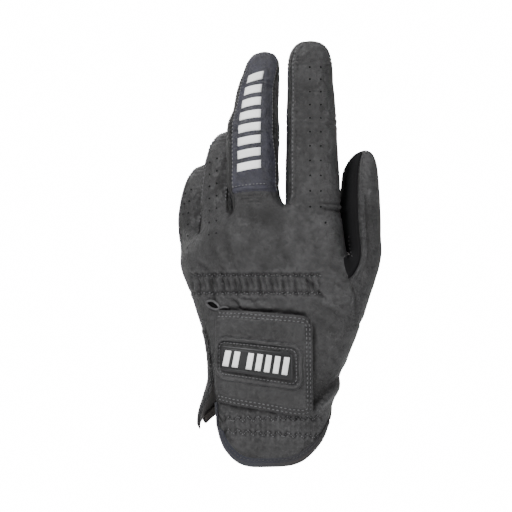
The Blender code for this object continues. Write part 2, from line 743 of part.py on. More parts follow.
# the keyhole loop of piping round the slit's upper end
steps = 28
ang = np.linspace(0, 2 * math.pi, steps, endpoint=False)
cx, cz = -28.4, 81.6
tiltq = math.radians(-28)
lx = 3.6 * np.cos(ang)
lz = 1.7 * np.sin(ang)
xs = cx + lx * math.cos(tiltq) - lz * math.sin(tiltq)
zs = cz + lx * math.sin(tiltq) + lz * math.cos(tiltq)
gu, gv = hand.find(xs, zs, (0.2, 4.0))
p, n = hand.at(gu, gv)
p = p + n * (GAP + 0.75)
t = np.roll(p, -1, axis=0) - np.roll(p, 1, axis=0)
t /= np.linalg.norm(t, axis=1)[:, None]
side = np.cross(t, n)
side /= np.linalg.norm(side, axis=1)[:, None]
nn = np.cross(side, t)
circle = [(0.7 * math.cos(a), 0.7 * math.sin(a)) for a in np.linspace(0, 2 * math.pi, 10, endpoint=False)]
sweep("keyhole_piping", p, side, nn, circle, "black_leather", closed=True)


# ---- the closure tab, its fastener and its badge ------------------------------------------------
def tab_top(x):
    return float(np.interp(x, [-27, -12, 11, 23], [79.2, 78.8, 77.0, 75.6]))


def tab_bottom(x):
    return float(np.interp(x, [-27, -17, -1, 12, 23], [32.2, 29.6, 26.9, 24.4, 23.6]))


def plate(name, bottom, top, left, right, rl, rr, rows, cols, lo, hi, kind, rough=0.55):
    xs, zs = rounded_rows(bottom, top, left, right, rl, rr, rows, cols)
    gu, gv = hand.find(xs, zs, (3.0, 7.0))
    p, n = hand.at(gu, gv)
    return sheet(name, p, n, lo, hi, kind, rough)


LOOP_LO = GAP
LOOP_HI = LOOP_LO + LOOP_THICK
HOOK_LO = LOOP_HI + GAP
HOOK_HI = HOOK_LO + HOOK_THICK
TAB_LO = HOOK_HI + GAP
TAB_HI = TAB_LO + TAB_LEATHER
BADGE_LO = TAB_HI + GAP
BADGE_HI = BADGE_LO + BADGE_THICK
plate("loop_patch", lambda x: 33.0, lambda x: 71.0, -13.0, 18.5, 3, 3, 9, 10,
      LOOP_LO, LOOP_HI, "fabric", 0.9)
plate("tab_hook_patch", lambda x: 34.0, lambda x: 70.0, -6.0, 17.5, 3, 3, 9, 8,
      HOOK_LO, HOOK_HI, "fabric", 0.9)
plate("closure_tab", tab_bottom, tab_top, TAB_LEFT, TAB_RIGHT, 0.8, TAB_CORNER, 10, 18,
      TAB_LO, TAB_HI, "black_leather")


def badge_top(x):
    return 60.3 - 3.2 * (x + 22.0) / 35.0


def badge_bottom(x):
    return 47.2 - 4.6 * (x + 22.0) / 35.0


def frame_strip(name, grow, wide, lo, hi, kind):
    """A closed raised frame round the badge."""
    loops = []
    for off in (grow, grow + wide):
        x0, x1 = -22.2 - off, 12.6 + off
        r = 1.8 + off
        ring = []
        for cxx, czz, a0 in ((x1 - r, 1, 90), (x1 - r, -1, 0), (x0 + r, -1, -90), (x0 + r, 1, -180)):
            for k in range(6):
                a = math.radians(a0 - 18 * k)
                x = cxx + r * math.cos(a)
                z = (badge_top(x) + off - r if czz > 0 else badge_bottom(x) - off + r) + r * math.sin(a)
                ring.append((x, z))
        dense = []
        for k in range(len(ring)):
            a = np.array(ring[k])
            b = np.array(ring[(k + 1) % len(ring)])
            count = 1
            if k % 6 == 5:
                count = 8 if k in (11, 23) else 4
            for j in range(count):
                dense.append(a + (b - a) * j / count)
        loops.append(np.array(dense))
    grid = np.stack(loops)
    gu, gv = hand.find(grid[..., 0], grid[..., 1], (3.0, 7.0))
    p, n = hand.at(gu, gv)
    count = p.shape[1]
    verts = []
    for k in range(count):
        verts += [p[0, k] + n[0, k] * lo, p[1, k] + n[1, k] * lo]
        verts += [p[1, k] + n[1, k] * hi, p[0, k] + n[0, k] * hi]
    faces = []
    for k in range(count):
        j = (k + 1) % count
        for q in range(4):
            r = (q + 1) % 4
            faces.append((4 * k + q, 4 * k + r, 4 * j + r, 4 * j + q))
    ob = make_object(name, verts, faces, kind)
    outward(ob)
    return ob


plate("badge_plate", badge_bottom, badge_top, -22.2, 12.6, 1.8, 1.8, 4, 14,
      BADGE_LO, BADGE_HI, "plate", 0.4)
frame_strip("badge_welt", 2.6, 1.8, BADGE_LO, BADGE_LO + 0.8, "black_leather")
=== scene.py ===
import math

import bpy
import numpy as np
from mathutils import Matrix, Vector, bvhtree, noise


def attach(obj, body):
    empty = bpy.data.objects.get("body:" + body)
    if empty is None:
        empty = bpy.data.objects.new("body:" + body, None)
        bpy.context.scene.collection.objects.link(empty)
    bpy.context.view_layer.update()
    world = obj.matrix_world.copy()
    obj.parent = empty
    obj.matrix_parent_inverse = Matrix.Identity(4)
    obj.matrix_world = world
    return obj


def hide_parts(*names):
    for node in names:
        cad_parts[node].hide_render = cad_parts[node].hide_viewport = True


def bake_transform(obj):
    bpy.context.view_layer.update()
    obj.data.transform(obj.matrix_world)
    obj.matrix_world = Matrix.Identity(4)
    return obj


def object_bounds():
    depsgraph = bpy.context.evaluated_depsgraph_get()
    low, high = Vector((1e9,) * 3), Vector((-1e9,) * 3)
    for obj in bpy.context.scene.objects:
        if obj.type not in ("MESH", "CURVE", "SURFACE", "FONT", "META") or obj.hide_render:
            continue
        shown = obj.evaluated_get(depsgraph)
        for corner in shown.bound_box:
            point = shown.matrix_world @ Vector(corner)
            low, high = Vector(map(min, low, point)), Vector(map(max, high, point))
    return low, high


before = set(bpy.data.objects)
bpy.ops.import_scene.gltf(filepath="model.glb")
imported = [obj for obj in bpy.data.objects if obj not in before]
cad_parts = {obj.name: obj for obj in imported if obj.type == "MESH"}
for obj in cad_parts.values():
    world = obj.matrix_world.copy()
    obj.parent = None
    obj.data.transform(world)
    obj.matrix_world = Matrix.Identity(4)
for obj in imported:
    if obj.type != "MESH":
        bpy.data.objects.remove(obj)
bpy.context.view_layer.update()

# A golf glove for the left hand, seen from the back of the hand: +Z to the fingertips, -Y away
# from the back of the hand, +X the thumb side. Lengths are in millimetres until a piece is made.
FINE = 4              # subdivisions of the net for the leather's skin
MM = 0.001
ORIGIN = np.array([1.5, 21.0, -2.2])   # centre of the wrist opening in the net's frame

# ---- driving dimensions, in millimetres -------------------------------------------------------
LEATHER = 0.9          # thickness of the leather panels
GAP = 0.3              # clearance between neighbouring pieces
FLARE = 10.5           # how far the free corner at the foot of the slit stands out
TAB_LEFT = -26.6       # sewn end of the closure tab
TAB_RIGHT = 22.9       # free end of the closure tab
TAB_CORNER = 6.0       # radius of the free corners
TAB_LEATHER = 1.1
HOOK_THICK = 0.9
LOOP_THICK = 0.9
BADGE_THICK = 1.3
BINDING_WIDTH = 3.9
BINDING_THICK = 0.6
WRIST_CENTRE = (1.5, 21.0)
WRIST_HALF = (30.0, 21.0)

# Height of each row of the hand's net down the thumb side of the middle finger
ROW_Z = [131.0, 118.0, 105.0, 93.0, 81.0, 67.0]
ROW_TO_WRIST = [0.0, 0.10, 0.25, 0.42, 0.58, 0.75, 0.88, 0.96, 1.0, 1.0, 1.0, 1.0]
ROW_KNUCKLE_TILT = [1.0, 0.75, 0.5, 0.3, 0.15, 0.05]
ROW_TO_HEM = [0.18, 0.345, 0.495, 0.643, 0.806, 1.0]

# The hand's girth has 20 columns: 9 over the back from the little finger to the index finger,
# one on the thumb side, 9 over the palm back again, one on the little finger's side.
KNUCKLES = [
    (-45.0, 43.0, 109.0), (-43.0, 33.0, 112.0), (-36.6, 22.5, 116.5), (-29.6, 12.5, 122.0),
    (-19.2, 5.5, 127.0), (-6.8, -0.8, 134.0), (8.2, 1.6, 131.0), (23.6, -1.0, 131.0),
    (35.0, 3.0, 128.0), (39.3, 12.0, 127.0), (34.0, 21.5, 129.0), (23.0, 26.5, 131.0),
    (9.0, 26.0, 132.0), (-3.0, 29.0, 133.0), (-9.5, 35.0, 127.5), (-15.5, 42.0, 124.0),
    (-23.0, 49.5, 117.5), (-30.5, 58.0, 113.0), (-39.5, 59.5, 110.0), (-45.5, 52.5, 109.0),
]
HEM_Z = [13.0, 2.2, -1.2, -1.6, -1.4, -1.3, -0.6, 2.6, 11.0, 21.0,
         29.0, 33.0, 34.0, 34.0, 34.0, 34.0, 33.0, 31.0, 28.0, 22.0]
# Outline of the hand without the thumb: height, little finger side, thumb side
OUTLINE = [
    (0.0, -27.5, 29.0), (13.0, -28.3, 30.6), (24.0, -28.8, 32.6), (34.0, -30.0, 35.4),
    (44.0, -32.0, 39.0), (55.0, -32.6, 43.0), (67.0, -34.4, 47.6), (81.0, -39.4, 50.0),
    (93.0, -43.4, 47.0), (105.0, -48.0, 43.0), (118.0, -49.6, 39.6), (135.0, -49.0, 39.3),
]

# Fingers: angle the back of the finger is turned away, start of the centre line, then for each
# ring (step, lean towards the palm, half width, half depth)
FINGERS = {
    "pinky": (30.0, (-38.6, 49.6, 116.0), [
        (7.8, 6, 10.0, 9.4), (7.5, 8, 9.9, 9.3), (7.0, 11, 9.9, 9.2), (6.0, 24, 9.8, 9.2),
        (6.0, 55, 9.8, 9.3), (6.0, 84, 9.6, 9.2), (7.0, 100, 9.3, 8.8), (7.5, 108, 9.0, 8.5),
        (7.0, 124, 8.7, 8.3), (6.5, 142, 8.4, 8.0), (6.5, 150, 7.6, 7.4), (3.4, 152, 5.0, 4.8),
        (1.4, 152, 1.6, 1.5)]),
    "ring": (27.0, (-25.2, 30.0, 126.5), [
        (7.5, 10, 10.4, 10.4), (7.5, 11, 10.4, 10.4), (9.5, 13, 10.4, 10.4), (9.0, 22, 10.4, 10.5),
        (7.0, 52, 10.6, 10.6), (7.0, 82, 10.4, 10.4), (8.0, 100, 10.0, 10.0), (9.0, 106, 9.8, 9.6),
        (8.0, 124, 9.5, 9.3), (7.0, 142, 9.2, 9.0), (7.5, 150, 8.2, 8.0), (3.6, 152, 5.4, 5.2),
        (1.5, 152, 1.7, 1.6)]),
    "middle": (13.0, (-6.9, 12.4, 132.0), [
        (7.0, 6, 12.6, 12.0), (7.5, 10, 12.5, 12.0), (10.0, 14, 12.6, 11.9), (10.0, 15, 12.9, 11.9),
        (9.5, 22, 12.9, 11.9), (9.0, 29, 11.7, 11.1), (9.5, 33, 10.8, 10.3), (9.5, 37, 10.2, 9.8),
        (8.5, 40, 9.5, 9.2), (6.0, 42, 7.9, 7.7), (3.4, 43, 5.0, 4.9), (1.4, 43, 1.6, 1.6)]),
    "index": (-6.0, (23.4, 12.2, 130.0), [
        (5.5, 0, 14.0, 12.6), (13.0, 0, 13.9, 12.3), (11.5, 0, 13.4, 11.9), (12.0, 0, 13.1, 11.6),
        (12.0, 0, 12.6, 11.2), (12.0, 1, 12.0, 10.7), (10.0, 1, 11.6, 10.3), (6.5, 1, 10.5, 9.4),
        (3.8, 1, 8.2, 7.6), (2.0, 1, 5.2, 5.0), (0.7, 1, 1.8, 1.8)]),
}
FINGER_ORDER = ["pinky", "ring", "middle", "index"]
FINGER_SLANT = {"pinky": 0.08, "ring": 0.0, "middle": -0.055, "index": -0.02}
WEB_RISE = 2.6
RING_ANGLES = [137, 90, 43, 0, -43, -90, -137, 180]

# Thumb: ring centres, half sizes and tilts; the first ring is its seam with the hand's opening
THUMB_ANGLES = [220, 264, 300, 332, 5, 38, 72, 106, 142, 180]
THUMB = [
    (50.2, 23.6, 106.0, 9.8, 12.0, -16), (49.7, 23.8, 113.5, 9.8, 11.8, -7),
    (48.5, 23.2, 122.5, 10.3, 11.7, 0), (48.3, 22.8, 132.0, 10.4, 11.6, 0),
    (47.8, 22.2, 141.5, 10.3, 11.4, 0), (47.8, 21.8, 149.0, 9.5, 10.6, 3),
    (48.4, 21.6, 155.7, 8.2, 9.0, 6), (49.2, 21.4, 160.2, 5.6, 6.2, 8),
    (49.8, 21.4, 162.2, 1.8, 2.0, 8),
]
HAND_PATCH, THUMB_PATCH, TIP_PATCH = 0, 5, 10     # the fingers' patches are 1 to 4


def unit(v):
    v = np.asarray(v, float)
    return v / np.linalg.norm(v)


# ---- the glove's net: a coarse quad cage whose smooth limit surface is the leather's outside ----
class Cage:
    def __init__(self):
        self.verts = []
        self.faces = []
        self.uvs = []
        self.patch = []

    def vert(self, p):
        self.verts.append(tuple(p))
        return len(self.verts) - 1

    def face(self, ids, uv, patch):
        self.faces.append(ids)
        self.uvs.append(uv)
        self.patch.append(patch)


def superellipse(f, n=2.3):
    return (1.0 - abs(f) ** n) ** (1.0 / n)


def wrist_section():
    """The girth at the wrist, as (fraction of the width, depth) for the 20 columns."""
    out = []
    for side, order in ((-1, range(9)), (1, range(8, -1, -1))):
        for k in order:
            f = -0.93 + 1.86 * k / 8
            out.append((f, WRIST_CENTRE[1] + side * WRIST_HALF[1] * superellipse(f)))
        out.append((-float(side), WRIST_CENTRE[1]))
    return out


def hand_point(row, col):
    wrist = wrist_section()[col]
    t = ROW_TO_WRIST[row]
    kx, ky, kz = KNUCKLES[col]
    if row == 0:
        return (kx, ky, kz)
    tilt = kz - 128.0
    if row <= 5:
        z = ROW_Z[row] + tilt * ROW_KNUCKLE_TILT[row]
    else:
        z5 = ROW_Z[5] + tilt * ROW_KNUCKLE_TILT[5]
        z = z5 + (HEM_Z[col] - z5) * ROW_TO_HEM[row - 6]
    zs = [o[0] for o in OUTLINE]
    left = float(np.interp(z, zs, [o[1] for o in OUTLINE]))
    right = float(np.interp(z, zs, [o[2] for o in OUTLINE]))
    kl = min(k[0] for k in KNUCKLES)
    kr = max(k[0] for k in KNUCKLES)
    f = 2.0 * (kx - kl) / (kr - kl) - 1.0
    f = f + (wrist[0] - f) * t
    x = 0.5 * (left + right) + 0.5 * (right - left) * f
    y = ky + (wrist[1] - ky) * t
    # the ball of the thumb and the heel of the hand stand out of the palm
    palm = 1.0 if 10 <= col <= 18 else 0.0
    thenar = math.exp(-((x - 30.0) / 14.0) ** 2 - ((z - 74.0) / 24.0) ** 2)
    heel = math.exp(-((x + 22.0) / 13.0) ** 2 - ((z - 66.0) / 22.0) ** 2)
    y += palm * (6.0 * thenar + 3.0 * heel)
    return (x, y, z)


def add_ring(cage, below, ring, row, patch):
    """The quads between two rings of points of the same length."""
    for k in range(len(ring)):
        m = (k + 1) % len(ring)
        cage.face([below[k], below[m], ring[m], ring[k]],
                  [(k, row), (k + 1, row), (k + 1, row + 1), (k, row + 1)], patch)


def close_tip(cage, tip, below):
    """The quads that close a finger's last ring."""
    for k in range(0, len(below), 2):
        cage.face([tip, below[k], below[k + 1], below[(k + 2) % len(below)]],
                  [(k, 90), (k, 91), (k + 1, 91), (k + 1, 90)], TIP_PATCH)


def build_cage():
    cage = Cage()
    rows = 12
    hand = [[None] * 20 for _ in range(rows)]
    for v in range(rows):
        for c in range(20):
            if c == 9 and v in (3, 4):
                continue
            hand[v][c] = cage.vert(hand_point(v, c))
    for v in range(rows - 1):
        for c in range(20):
            d = (c + 1) % 20
            if c in (8, 9) and 2 <= v < 5:
                continue
            ids = [hand[v][c], hand[v + 1][c], hand[v + 1][d], hand[v][d]]
            cage.face(ids, [(c, v), (c, v + 1), (c + 1, v + 1), (c + 1, v)], HAND_PATCH)
    # webs between the fingers
    web = {}
    for i in range(1, 4):
        d = np.array(KNUCKLES[2 * i])
        p = np.array(KNUCKLES[18 - 2 * i])
        m = 0.5 * (d + p)
        m[2] += WEB_RISE
        web[i] = cage.vert(m)
    web[0] = hand[0][19]
    web[4] = hand[0][9]
    frames = {}
    for i, name in enumerate(FINGER_ORDER):
        turn, start, rings = FINGERS[name]
        th = math.radians(turn)
        across = np.array([math.cos(th), -math.sin(th), 0.0])
        palm = np.array([math.sin(th), math.cos(th), 0.0])
        below = [hand[0][2 * i], hand[0][2 * i + 1], hand[0][2 * i + 2], web[i + 1],
                 hand[0][16 - 2 * i], hand[0][17 - 2 * i], hand[0][18 - 2 * i], web[i]]
        centre = np.array(start)
        frames[name] = [(centre.copy(), across, -palm)]
        for j, (step, lean, a, b) in enumerate(rings):
            f = math.radians(lean)
            up = np.array([0.0, 0.0, 1.0]) + across * FINGER_SLANT[name]
            t = unit(up * math.cos(f) + palm * math.sin(f))
            centre = centre + t * step
            nxt = rings[min(j + 1, len(rings) - 1)][1]
            g = math.radians(0.5 * (lean + nxt))
            tm = unit(up * math.cos(g) + palm * math.sin(g))
            u = unit(across - tm * float(across @ tm))
            n = np.cross(u, tm)
            ring = []
            for ang in RING_ANGLES:
                q = math.radians(ang)
                square = 1.108 * (1.03 if abs(math.sin(2 * q)) > 0.5 else 1.0)
                ring.append(cage.vert(centre + square * (a * math.cos(q) * u + b * math.sin(q) * n)))
            frames[name].append((centre.copy(), u, n))
            add_ring(cage, below, ring, j, i + 1)
            below = ring
        close_tip(cage, cage.vert(centre + 0.25 * t), below)
    # the thumb grows out of the opening on the thumb side
    below = [hand[2][8], hand[3][8], hand[4][8], hand[5][8], hand[5][9],
             hand[5][10], hand[4][10], hand[3][10], hand[2][10], hand[2][9]]
    for j, (x, y, z, a, b, tilt) in enumerate(THUMB):
        q = math.radians(tilt)
        u = np.array([math.cos(q), 0.0, math.sin(q)])
        v = np.array([0.0, 1.0, 0.0])
        ring = []
        for ang in THUMB_ANGLES:
            r = math.radians(ang)
            out = a * math.cos(r) * u + b * math.sin(r) * v
            ring.append(cage.vert(np.array([x, y, z]) + 1.068 * out))
        add_ring(cage, below, ring, j, THUMB_PATCH)
        below = ring
    close_tip(cage, cage.vert((THUMB[-1][0], THUMB[-1][1], THUMB[-1][2] + 0.2)), below)
    return cage, frames


def read(items, what, width, kind=float):
    out = np.empty(len(items) * width, kind)
    items.foreach_get(what, out)
    return out.reshape(-1, width)


def refine(cage, level):
    """The cage's limit surface: points, normals, quads, net coordinates, patch of each quad."""
    mesh = bpy.data.meshes.new("net")
    mesh.from_pydata(cage.verts, [], cage.faces)
    layer = mesh.uv_layers.new(name="net")
    flat = [c for face in cage.uvs for c in face]
    for loop, uv in zip(layer.data, flat):
        loop.uv = uv
    for poly, patch in zip(mesh.polygons, cage.patch):
        poly.material_index = patch
    for _ in range(TIP_PATCH + 1):
        mesh.materials.append(None)
    ob = bpy.data.objects.new("net", mesh)
    bpy.context.scene.collection.objects.link(ob)
    sub = ob.modifiers.new("smooth", "SUBSURF")
    sub.levels = level
    sub.render_levels = level
    sub.uv_smooth = "NONE"
    sub.boundary_smooth = "ALL"
    deps = bpy.context.evaluated_depsgraph_get()
    ev = ob.evaluated_get(deps)
    out = ev.to_mesh()
    pts = read(out.vertices, "co", 3)
    nor = read(out.vertices, "normal", 3)
    quads = read(out.loops, "vertex_index", 1, int).reshape(-1, 4)
    uv = read(out.uv_layers[0].data, "uv", 2).reshape(-1, 4, 2)
    patch = read(out.polygons, "material_index", 1, int).ravel()
    ev.to_mesh_clear()
    bpy.data.objects.remove(ob, do_unlink=True)
    bpy.data.meshes.remove(mesh)
    return pts, nor, quads, uv, patch


FIND_STEPS = 40
FIND_SIDE = 0.05


class Surface:
    """Looks up points and normals of one patch of the fine net by its row and column."""

    def __init__(self, fine, patch, cols, rows, level):
        pts, nor, quads, uv, pm = fine
        self.k = 2 ** level
        self.cols = cols
        w = cols * self.k + 1
        h = rows * self.k + 1
        idx = -np.ones((h, w), int)
        pick = pm == patch
        grid = np.rint(uv[pick] * self.k).astype(int).reshape(-1, 2)
        idx[grid[:, 1], grid[:, 0]] = quads[pick].reshape(-1)
        self.p = np.zeros((h, w, 3))
        self.n = np.zeros((h, w, 3))
        good = idx >= 0
        self.p[good] = pts[idx[good]]
        self.n[good] = nor[idx[good]]
        for r in range(h):
            bad = ~good[r]
            if bad.any() and good[r].any():
                x = np.arange(w)
                for table in (self.p, self.n):
                    for c in range(3):
                        table[r, bad, c] = np.interp(x[bad], x[good[r]], table[r, good[r], c])

    def at(self, u, v):
        u = np.asarray(u, float) % self.cols * self.k
        v = np.clip(np.asarray(v, float) * self.k, 0, self.p.shape[0] - 1.0001)
        i = np.minimum(u.astype(int), self.p.shape[1] - 2)
        j = v.astype(int)
        fu = (u - i)[..., None]
        fv = (v - j)[..., None]
        out = []
        for g in (self.p, self.n):
            q = (g[j, i] * (1 - fu) + g[j, i + 1] * fu) * (1 - fv)
            out.append(q + (g[j + 1, i] * (1 - fu) + g[j + 1, i + 1] * fu) * fv)
        n = out[1] / np.linalg.norm(out[1], axis=-1, keepdims=True)
        return out[0], n

    def find(self, x, z, guess):
        """Net coordinates on the back of the hand of the points with these x and z."""
        x = np.asarray(x, float)
        z = np.asarray(z, float)
        u = np.full(x.shape, guess[0], float)
        v = np.full(x.shape, guess[1], float)
        for _ in range(FIND_STEPS):
            p = self.at(u, v)[0]
            du = (self.at(u + FIND_SIDE, v)[0] - p) / FIND_SIDE
            dv = (self.at(u, v + FIND_SIDE)[0] - p) / FIND_SIDE
            a, b, c, d = du[..., 0], dv[..., 0], du[..., 2], dv[..., 2]
            det = a * d - b * c
            ex = x - p[..., 0]
            ez = z - p[..., 2]
            u = u + np.clip((d * ex - b * ez) / det, -0.5, 0.5)
            v = np.clip(v + np.clip((a * ez - c * ex) / det, -0.5, 0.5), 0, 10.99)
        return u, v


def smooth(t):
    t = np.clip(t, 0.0, 1.0)
    return t * t * (3 - 2 * t)


def bell(d, width):
    return np.exp(-(d / width) ** 2)


def span(t, lo, hi, soft):
    """1 between lo and hi, falling to 0 over the soft distance at each end."""
    return smooth((t - lo) / soft + 0.5) * smooth((hi - t) / soft + 0.5)


FLARE_ROW, FLARE_ROWS = 7.4, 3.2            # where the curl starts down the slit, and its length
FLARE_COLUMN, FLARE_COLUMNS = 18.2, 1.8     # where it starts on the palm, and its width
SLIT_COLUMN = 19.95
FLARE_WAY = np.array([-0.93, -0.36, 0.0])


def flare(u, v):
    """The free corner at the foot of the slit curls away from the wrist."""
    down = smooth((v - FLARE_ROW) / FLARE_ROWS)
    amount = FLARE * down * smooth((u - FLARE_COLUMN) / FLARE_COLUMNS) * (u <= SLIT_COLUMN)
    return amount[..., None] * FLARE_WAY


# ---- meshes ------------------------------------------------------------------------------------
class Build:
    """Collects one piece: points, faces, a material number for each part, a tone for each point, which
    carries random shade along with painted light and shade.
    """

    def __init__(self):
        self.verts = []
        self.normals = []
        self.loops = []
        self.sizes = []
        self.mats = []
        self.tones = []
        self.count = 0
        self.first = 0

    def add(self, verts, faces, mat=0, normals=None, tone=0.0):
        verts = np.asarray(verts, float).reshape(-1, 3)
        self.verts.append(verts)
        self.normals.append(np.zeros_like(verts) if normals is None else normals)
        self.tones.append(np.broadcast_to(np.asarray(tone, float), (len(verts),)))
        self.first = self.count
        self.count += len(verts)
        self.more(faces, mat)

    def more(self, faces, mat=0):
        """More faces on the points that were added last."""
        faces = np.asarray(faces, int)
        self.loops.append((faces + self.first).reshape(-1))
        self.sizes.append(np.full(len(faces), faces.shape[1]))
        self.mats.append(np.full(len(faces), mat))

    def make(self, name, materials, slot):
        verts = (np.concatenate(self.verts) - ORIGIN) * MM
        loops = np.concatenate(self.loops)
        sizes = np.concatenate(self.sizes)
        mesh = bpy.data.meshes.new(name)
        mesh.vertices.add(len(verts))
        mesh.vertices.foreach_set("co", verts.astype(np.float32).ravel())
        mesh.loops.add(len(loops))
        mesh.loops.foreach_set("vertex_index", loops.astype(np.int32))
        mesh.polygons.add(len(sizes))
        starts = np.concatenate([[0], np.cumsum(sizes)[:-1]])
        mesh.polygons.foreach_set("loop_start", starts.astype(np.int32))
        mesh.polygons.foreach_set("material_index", np.concatenate(self.mats).astype(np.int32))
        mesh.polygons.foreach_set("use_smooth", np.ones(len(sizes), bool))
        tone = mesh.attributes.new("tone", "FLOAT", "POINT")
        tone.data.foreach_set("value", np.concatenate(self.tones).astype(np.float32))
        for m in materials:
            mesh.materials.append(m)
        mesh.update(calc_edges=True)
        mesh.validate()
        normals = np.concatenate(self.normals)
        if np.abs(normals).sum() > 0 and len(normals) == len(mesh.vertices):
            mesh.normals_split_custom_set_from_vertices([tuple(n) for n in normals])
        ob = bpy.data.objects.new(name, mesh)
        bpy.context.scene.collection.objects.link(ob)
        return ob


def normals_of(pts, quads):
    """Smooth normals at the points of a quad mesh."""
    d1 = pts[quads[:, 2]] - pts[quads[:, 0]]
    d2 = pts[quads[:, 3]] - pts[quads[:, 1]]
    face = np.cross(d1, d2)
    out = np.zeros_like(pts)
    for k in range(4):
        for c in range(3):
            out[:, c] += np.bincount(quads[:, k], weights=face[:, c], minlength=len(pts))
    return units(out)


def grid_faces(rows, cols, wrap=False, closed=False):
    """Quads of a grid of points; wrap joins the last column to the first, closed the last row."""
    i, j = np.meshgrid(np.arange(rows - 1), np.arange(cols if wrap else cols - 1), indexing="ij")
    a = (i * cols + j).ravel()
    b = (i * cols + (j + 1) % cols).ravel()
    faces = np.stack([a, b, b + cols, a + cols], axis=1)
    if closed:
        k = np.arange(cols)
        last = (rows - 1) * cols
        ring = np.stack([last + k, last + (k + 1) % cols, (k + 1) % cols, k], axis=1)
        faces = np.concatenate([faces, ring])
    return faces


def units(v):
    """Each row of an array of directions, made one long."""
    return v / np.maximum(np.linalg.norm(v, axis=1), 1e-12)[:, None]


def facing_out(verts, faces):
    """The quads of a closed body, turned round if they face inwards."""
    v = verts - verts.mean(axis=0)
    a, b, c, d = (v[faces[:, k]] for k in range(4))
    volume = (a * np.cross(b, c)).sum() + (a * np.cross(c, d)).sum()
    return faces[:, ::-1] if volume < 0 else faces


def slab(build, p, n, lo, hi, mat=0, tone=0.0):
    """A closed sheet over a grid of points: it fills from lo to hi along the normals."""
    rows, cols = p.shape[:2]
    lo = np.broadcast_to(np.asarray(lo, float), (rows, cols))[..., None]
    hi = np.broadcast_to(np.asarray(hi, float), (rows, cols))[..., None]
    top = (p + n * hi).reshape(-1, 3)
    low = (p + n * lo).reshape(-1, 3)
    m = rows * cols
    face = grid_faces(rows, cols)
    ring = list(range(cols))
    ring += [i * cols + cols - 1 for i in range(1, rows)]
    ring += [(rows - 1) * cols + j for j in range(cols - 2, -1, -1)]
    ring += [i * cols for i in range(rows - 2, 0, -1)]
    ring = np.array(ring)
    after = np.roll(ring, -1)
    rim = np.stack([after, ring, ring + m, after + m], axis=1)
    faces = np.concatenate([face, face[:, ::-1] + m, rim])
    a, b, c = face[len(face) // 2][:3]
    if float(np.cross(top[b] - top[a], top[c] - top[a]) @ n.reshape(-1, 3)[a]) < 0:
        faces = faces[:, ::-1]
    tone = np.broadcast_to(np.asarray(tone, float), (rows, cols)).ravel()
    build.add(np.concatenate([top, low]), faces, mat, tone=np.concatenate([tone, tone]))


# a stitch: a short thread with round ends that dips into the leather; along, across, up
PROFILE = [(-0.5, 0.30, -0.9), (-0.40, 0.80, -0.15), (-0.15, 1.0, 0.25), (0.15, 1.0, 0.25),
           (0.40, 0.80, -0.15), (0.5, 0.30, -0.9)]
SIDES = 6


def stitches(build, centre, along, normal, length, radius, mat):
    """Threads laid on a surface at these centres, each along its own direction."""
    centre = np.asarray(centre, float)
    if len(centre) == 0:
        return
    along = np.asarray(along, float)
    normal = np.asarray(normal, float)
    along = units(along - normal * np.einsum("ij,ij->i", along, normal)[:, None])
    across = np.cross(along, normal)
    ang = np.linspace(0, 2 * math.pi, SIDES, endpoint=False)
    pts = []
    for t, r, up in PROFILE:
        c = centre + along * (t * length) + normal * (up * radius)
        for a in ang:
            pts.append(c + across * (r * radius * math.cos(a)) + normal * (r * radius * math.sin(a)))
    pts = np.stack(pts, axis=1)
    k = pts.shape[1]
    body = grid_faces(len(PROFILE), SIDES, wrap=True)
    ends = np.array([list(range(SIDES))[::-1], list(range(k - SIDES, k))])
    shift = (np.arange(len(centre)) * k)[:, None, None]
    build.add(pts.reshape(-1, 3), (body[None] + shift).reshape(-1, 4), mat)
    build.more((ends[None] + shift).reshape(-1, SIDES), mat)


HOLE_SIDES = 12


def eyelets(build, centre, normal, radius, lip_mat, hole_mat):
    """Punched holes: a softly rolled lip round a dark bottom, a near-black disc of painted shade
    standing in for the depth of the hole.
    """
    centre = np.asarray(centre, float)
    if len(centre) == 0:
        return
    normal = np.asarray(normal, float)
    ref = np.where(np.abs(normal[:, 2:3]) < 0.9, [[0.0, 0.0, 1.0]], [[1.0, 0.0, 0.0]])
    a = units(np.cross(ref, normal))
    b = np.cross(normal, a)
    ang = np.linspace(0, 2 * math.pi, HOLE_SIDES, endpoint=False)
    shape = [(1.75, -0.10), (1.35, 0.08), (1.05, 0.10), (0.92, 0.03), (0.86, -0.02)]
    rings = []
    for r, up in shape:
        for q in ang:
            rings.append(centre + (a * math.cos(q) + b * math.sin(q)) * (r * radius) + normal * up)
    pts = np.stack(rings, axis=1)
    k = pts.shape[1]
    lip = grid_faces(len(shape), HOLE_SIDES, wrap=True)
    shift = (np.arange(len(centre)) * k)[:, None, None]
    build.add(pts.reshape(-1, 3), (lip[None] + shift).reshape(-1, 4), lip_mat)
    disc = []
    for q in ang:
        disc.append(centre + (a * math.cos(q) + b * math.sin(q)) * (0.9 * radius) + normal * 0.035)
    disc = np.stack(disc, axis=1)
    ids = (np.arange(len(centre)) * HOLE_SIDES)[:, None] + np.arange(HOLE_SIDES)[None]
    build.add(disc.reshape(-1, 3), ids, hole_mat)


def resample(points, pitch, start=0.5):
    """Places along a polyline at an even pitch, as fractional indices into it."""
    step = np.linalg.norm(np.diff(points, axis=0), axis=1)
    run = np.concatenate([[0], np.cumsum(step)])
    where = np.arange(start * pitch, run[-1], pitch)
    return np.interp(where, run, np.arange(len(points)))


def pick(arr, where):
    i = np.minimum(where.astype(int), len(arr) - 2)
    f = (where - i).reshape((-1,) + (1,) * (arr.ndim - 1))
    return arr[i] * (1 - f) + arr[i + 1] * f


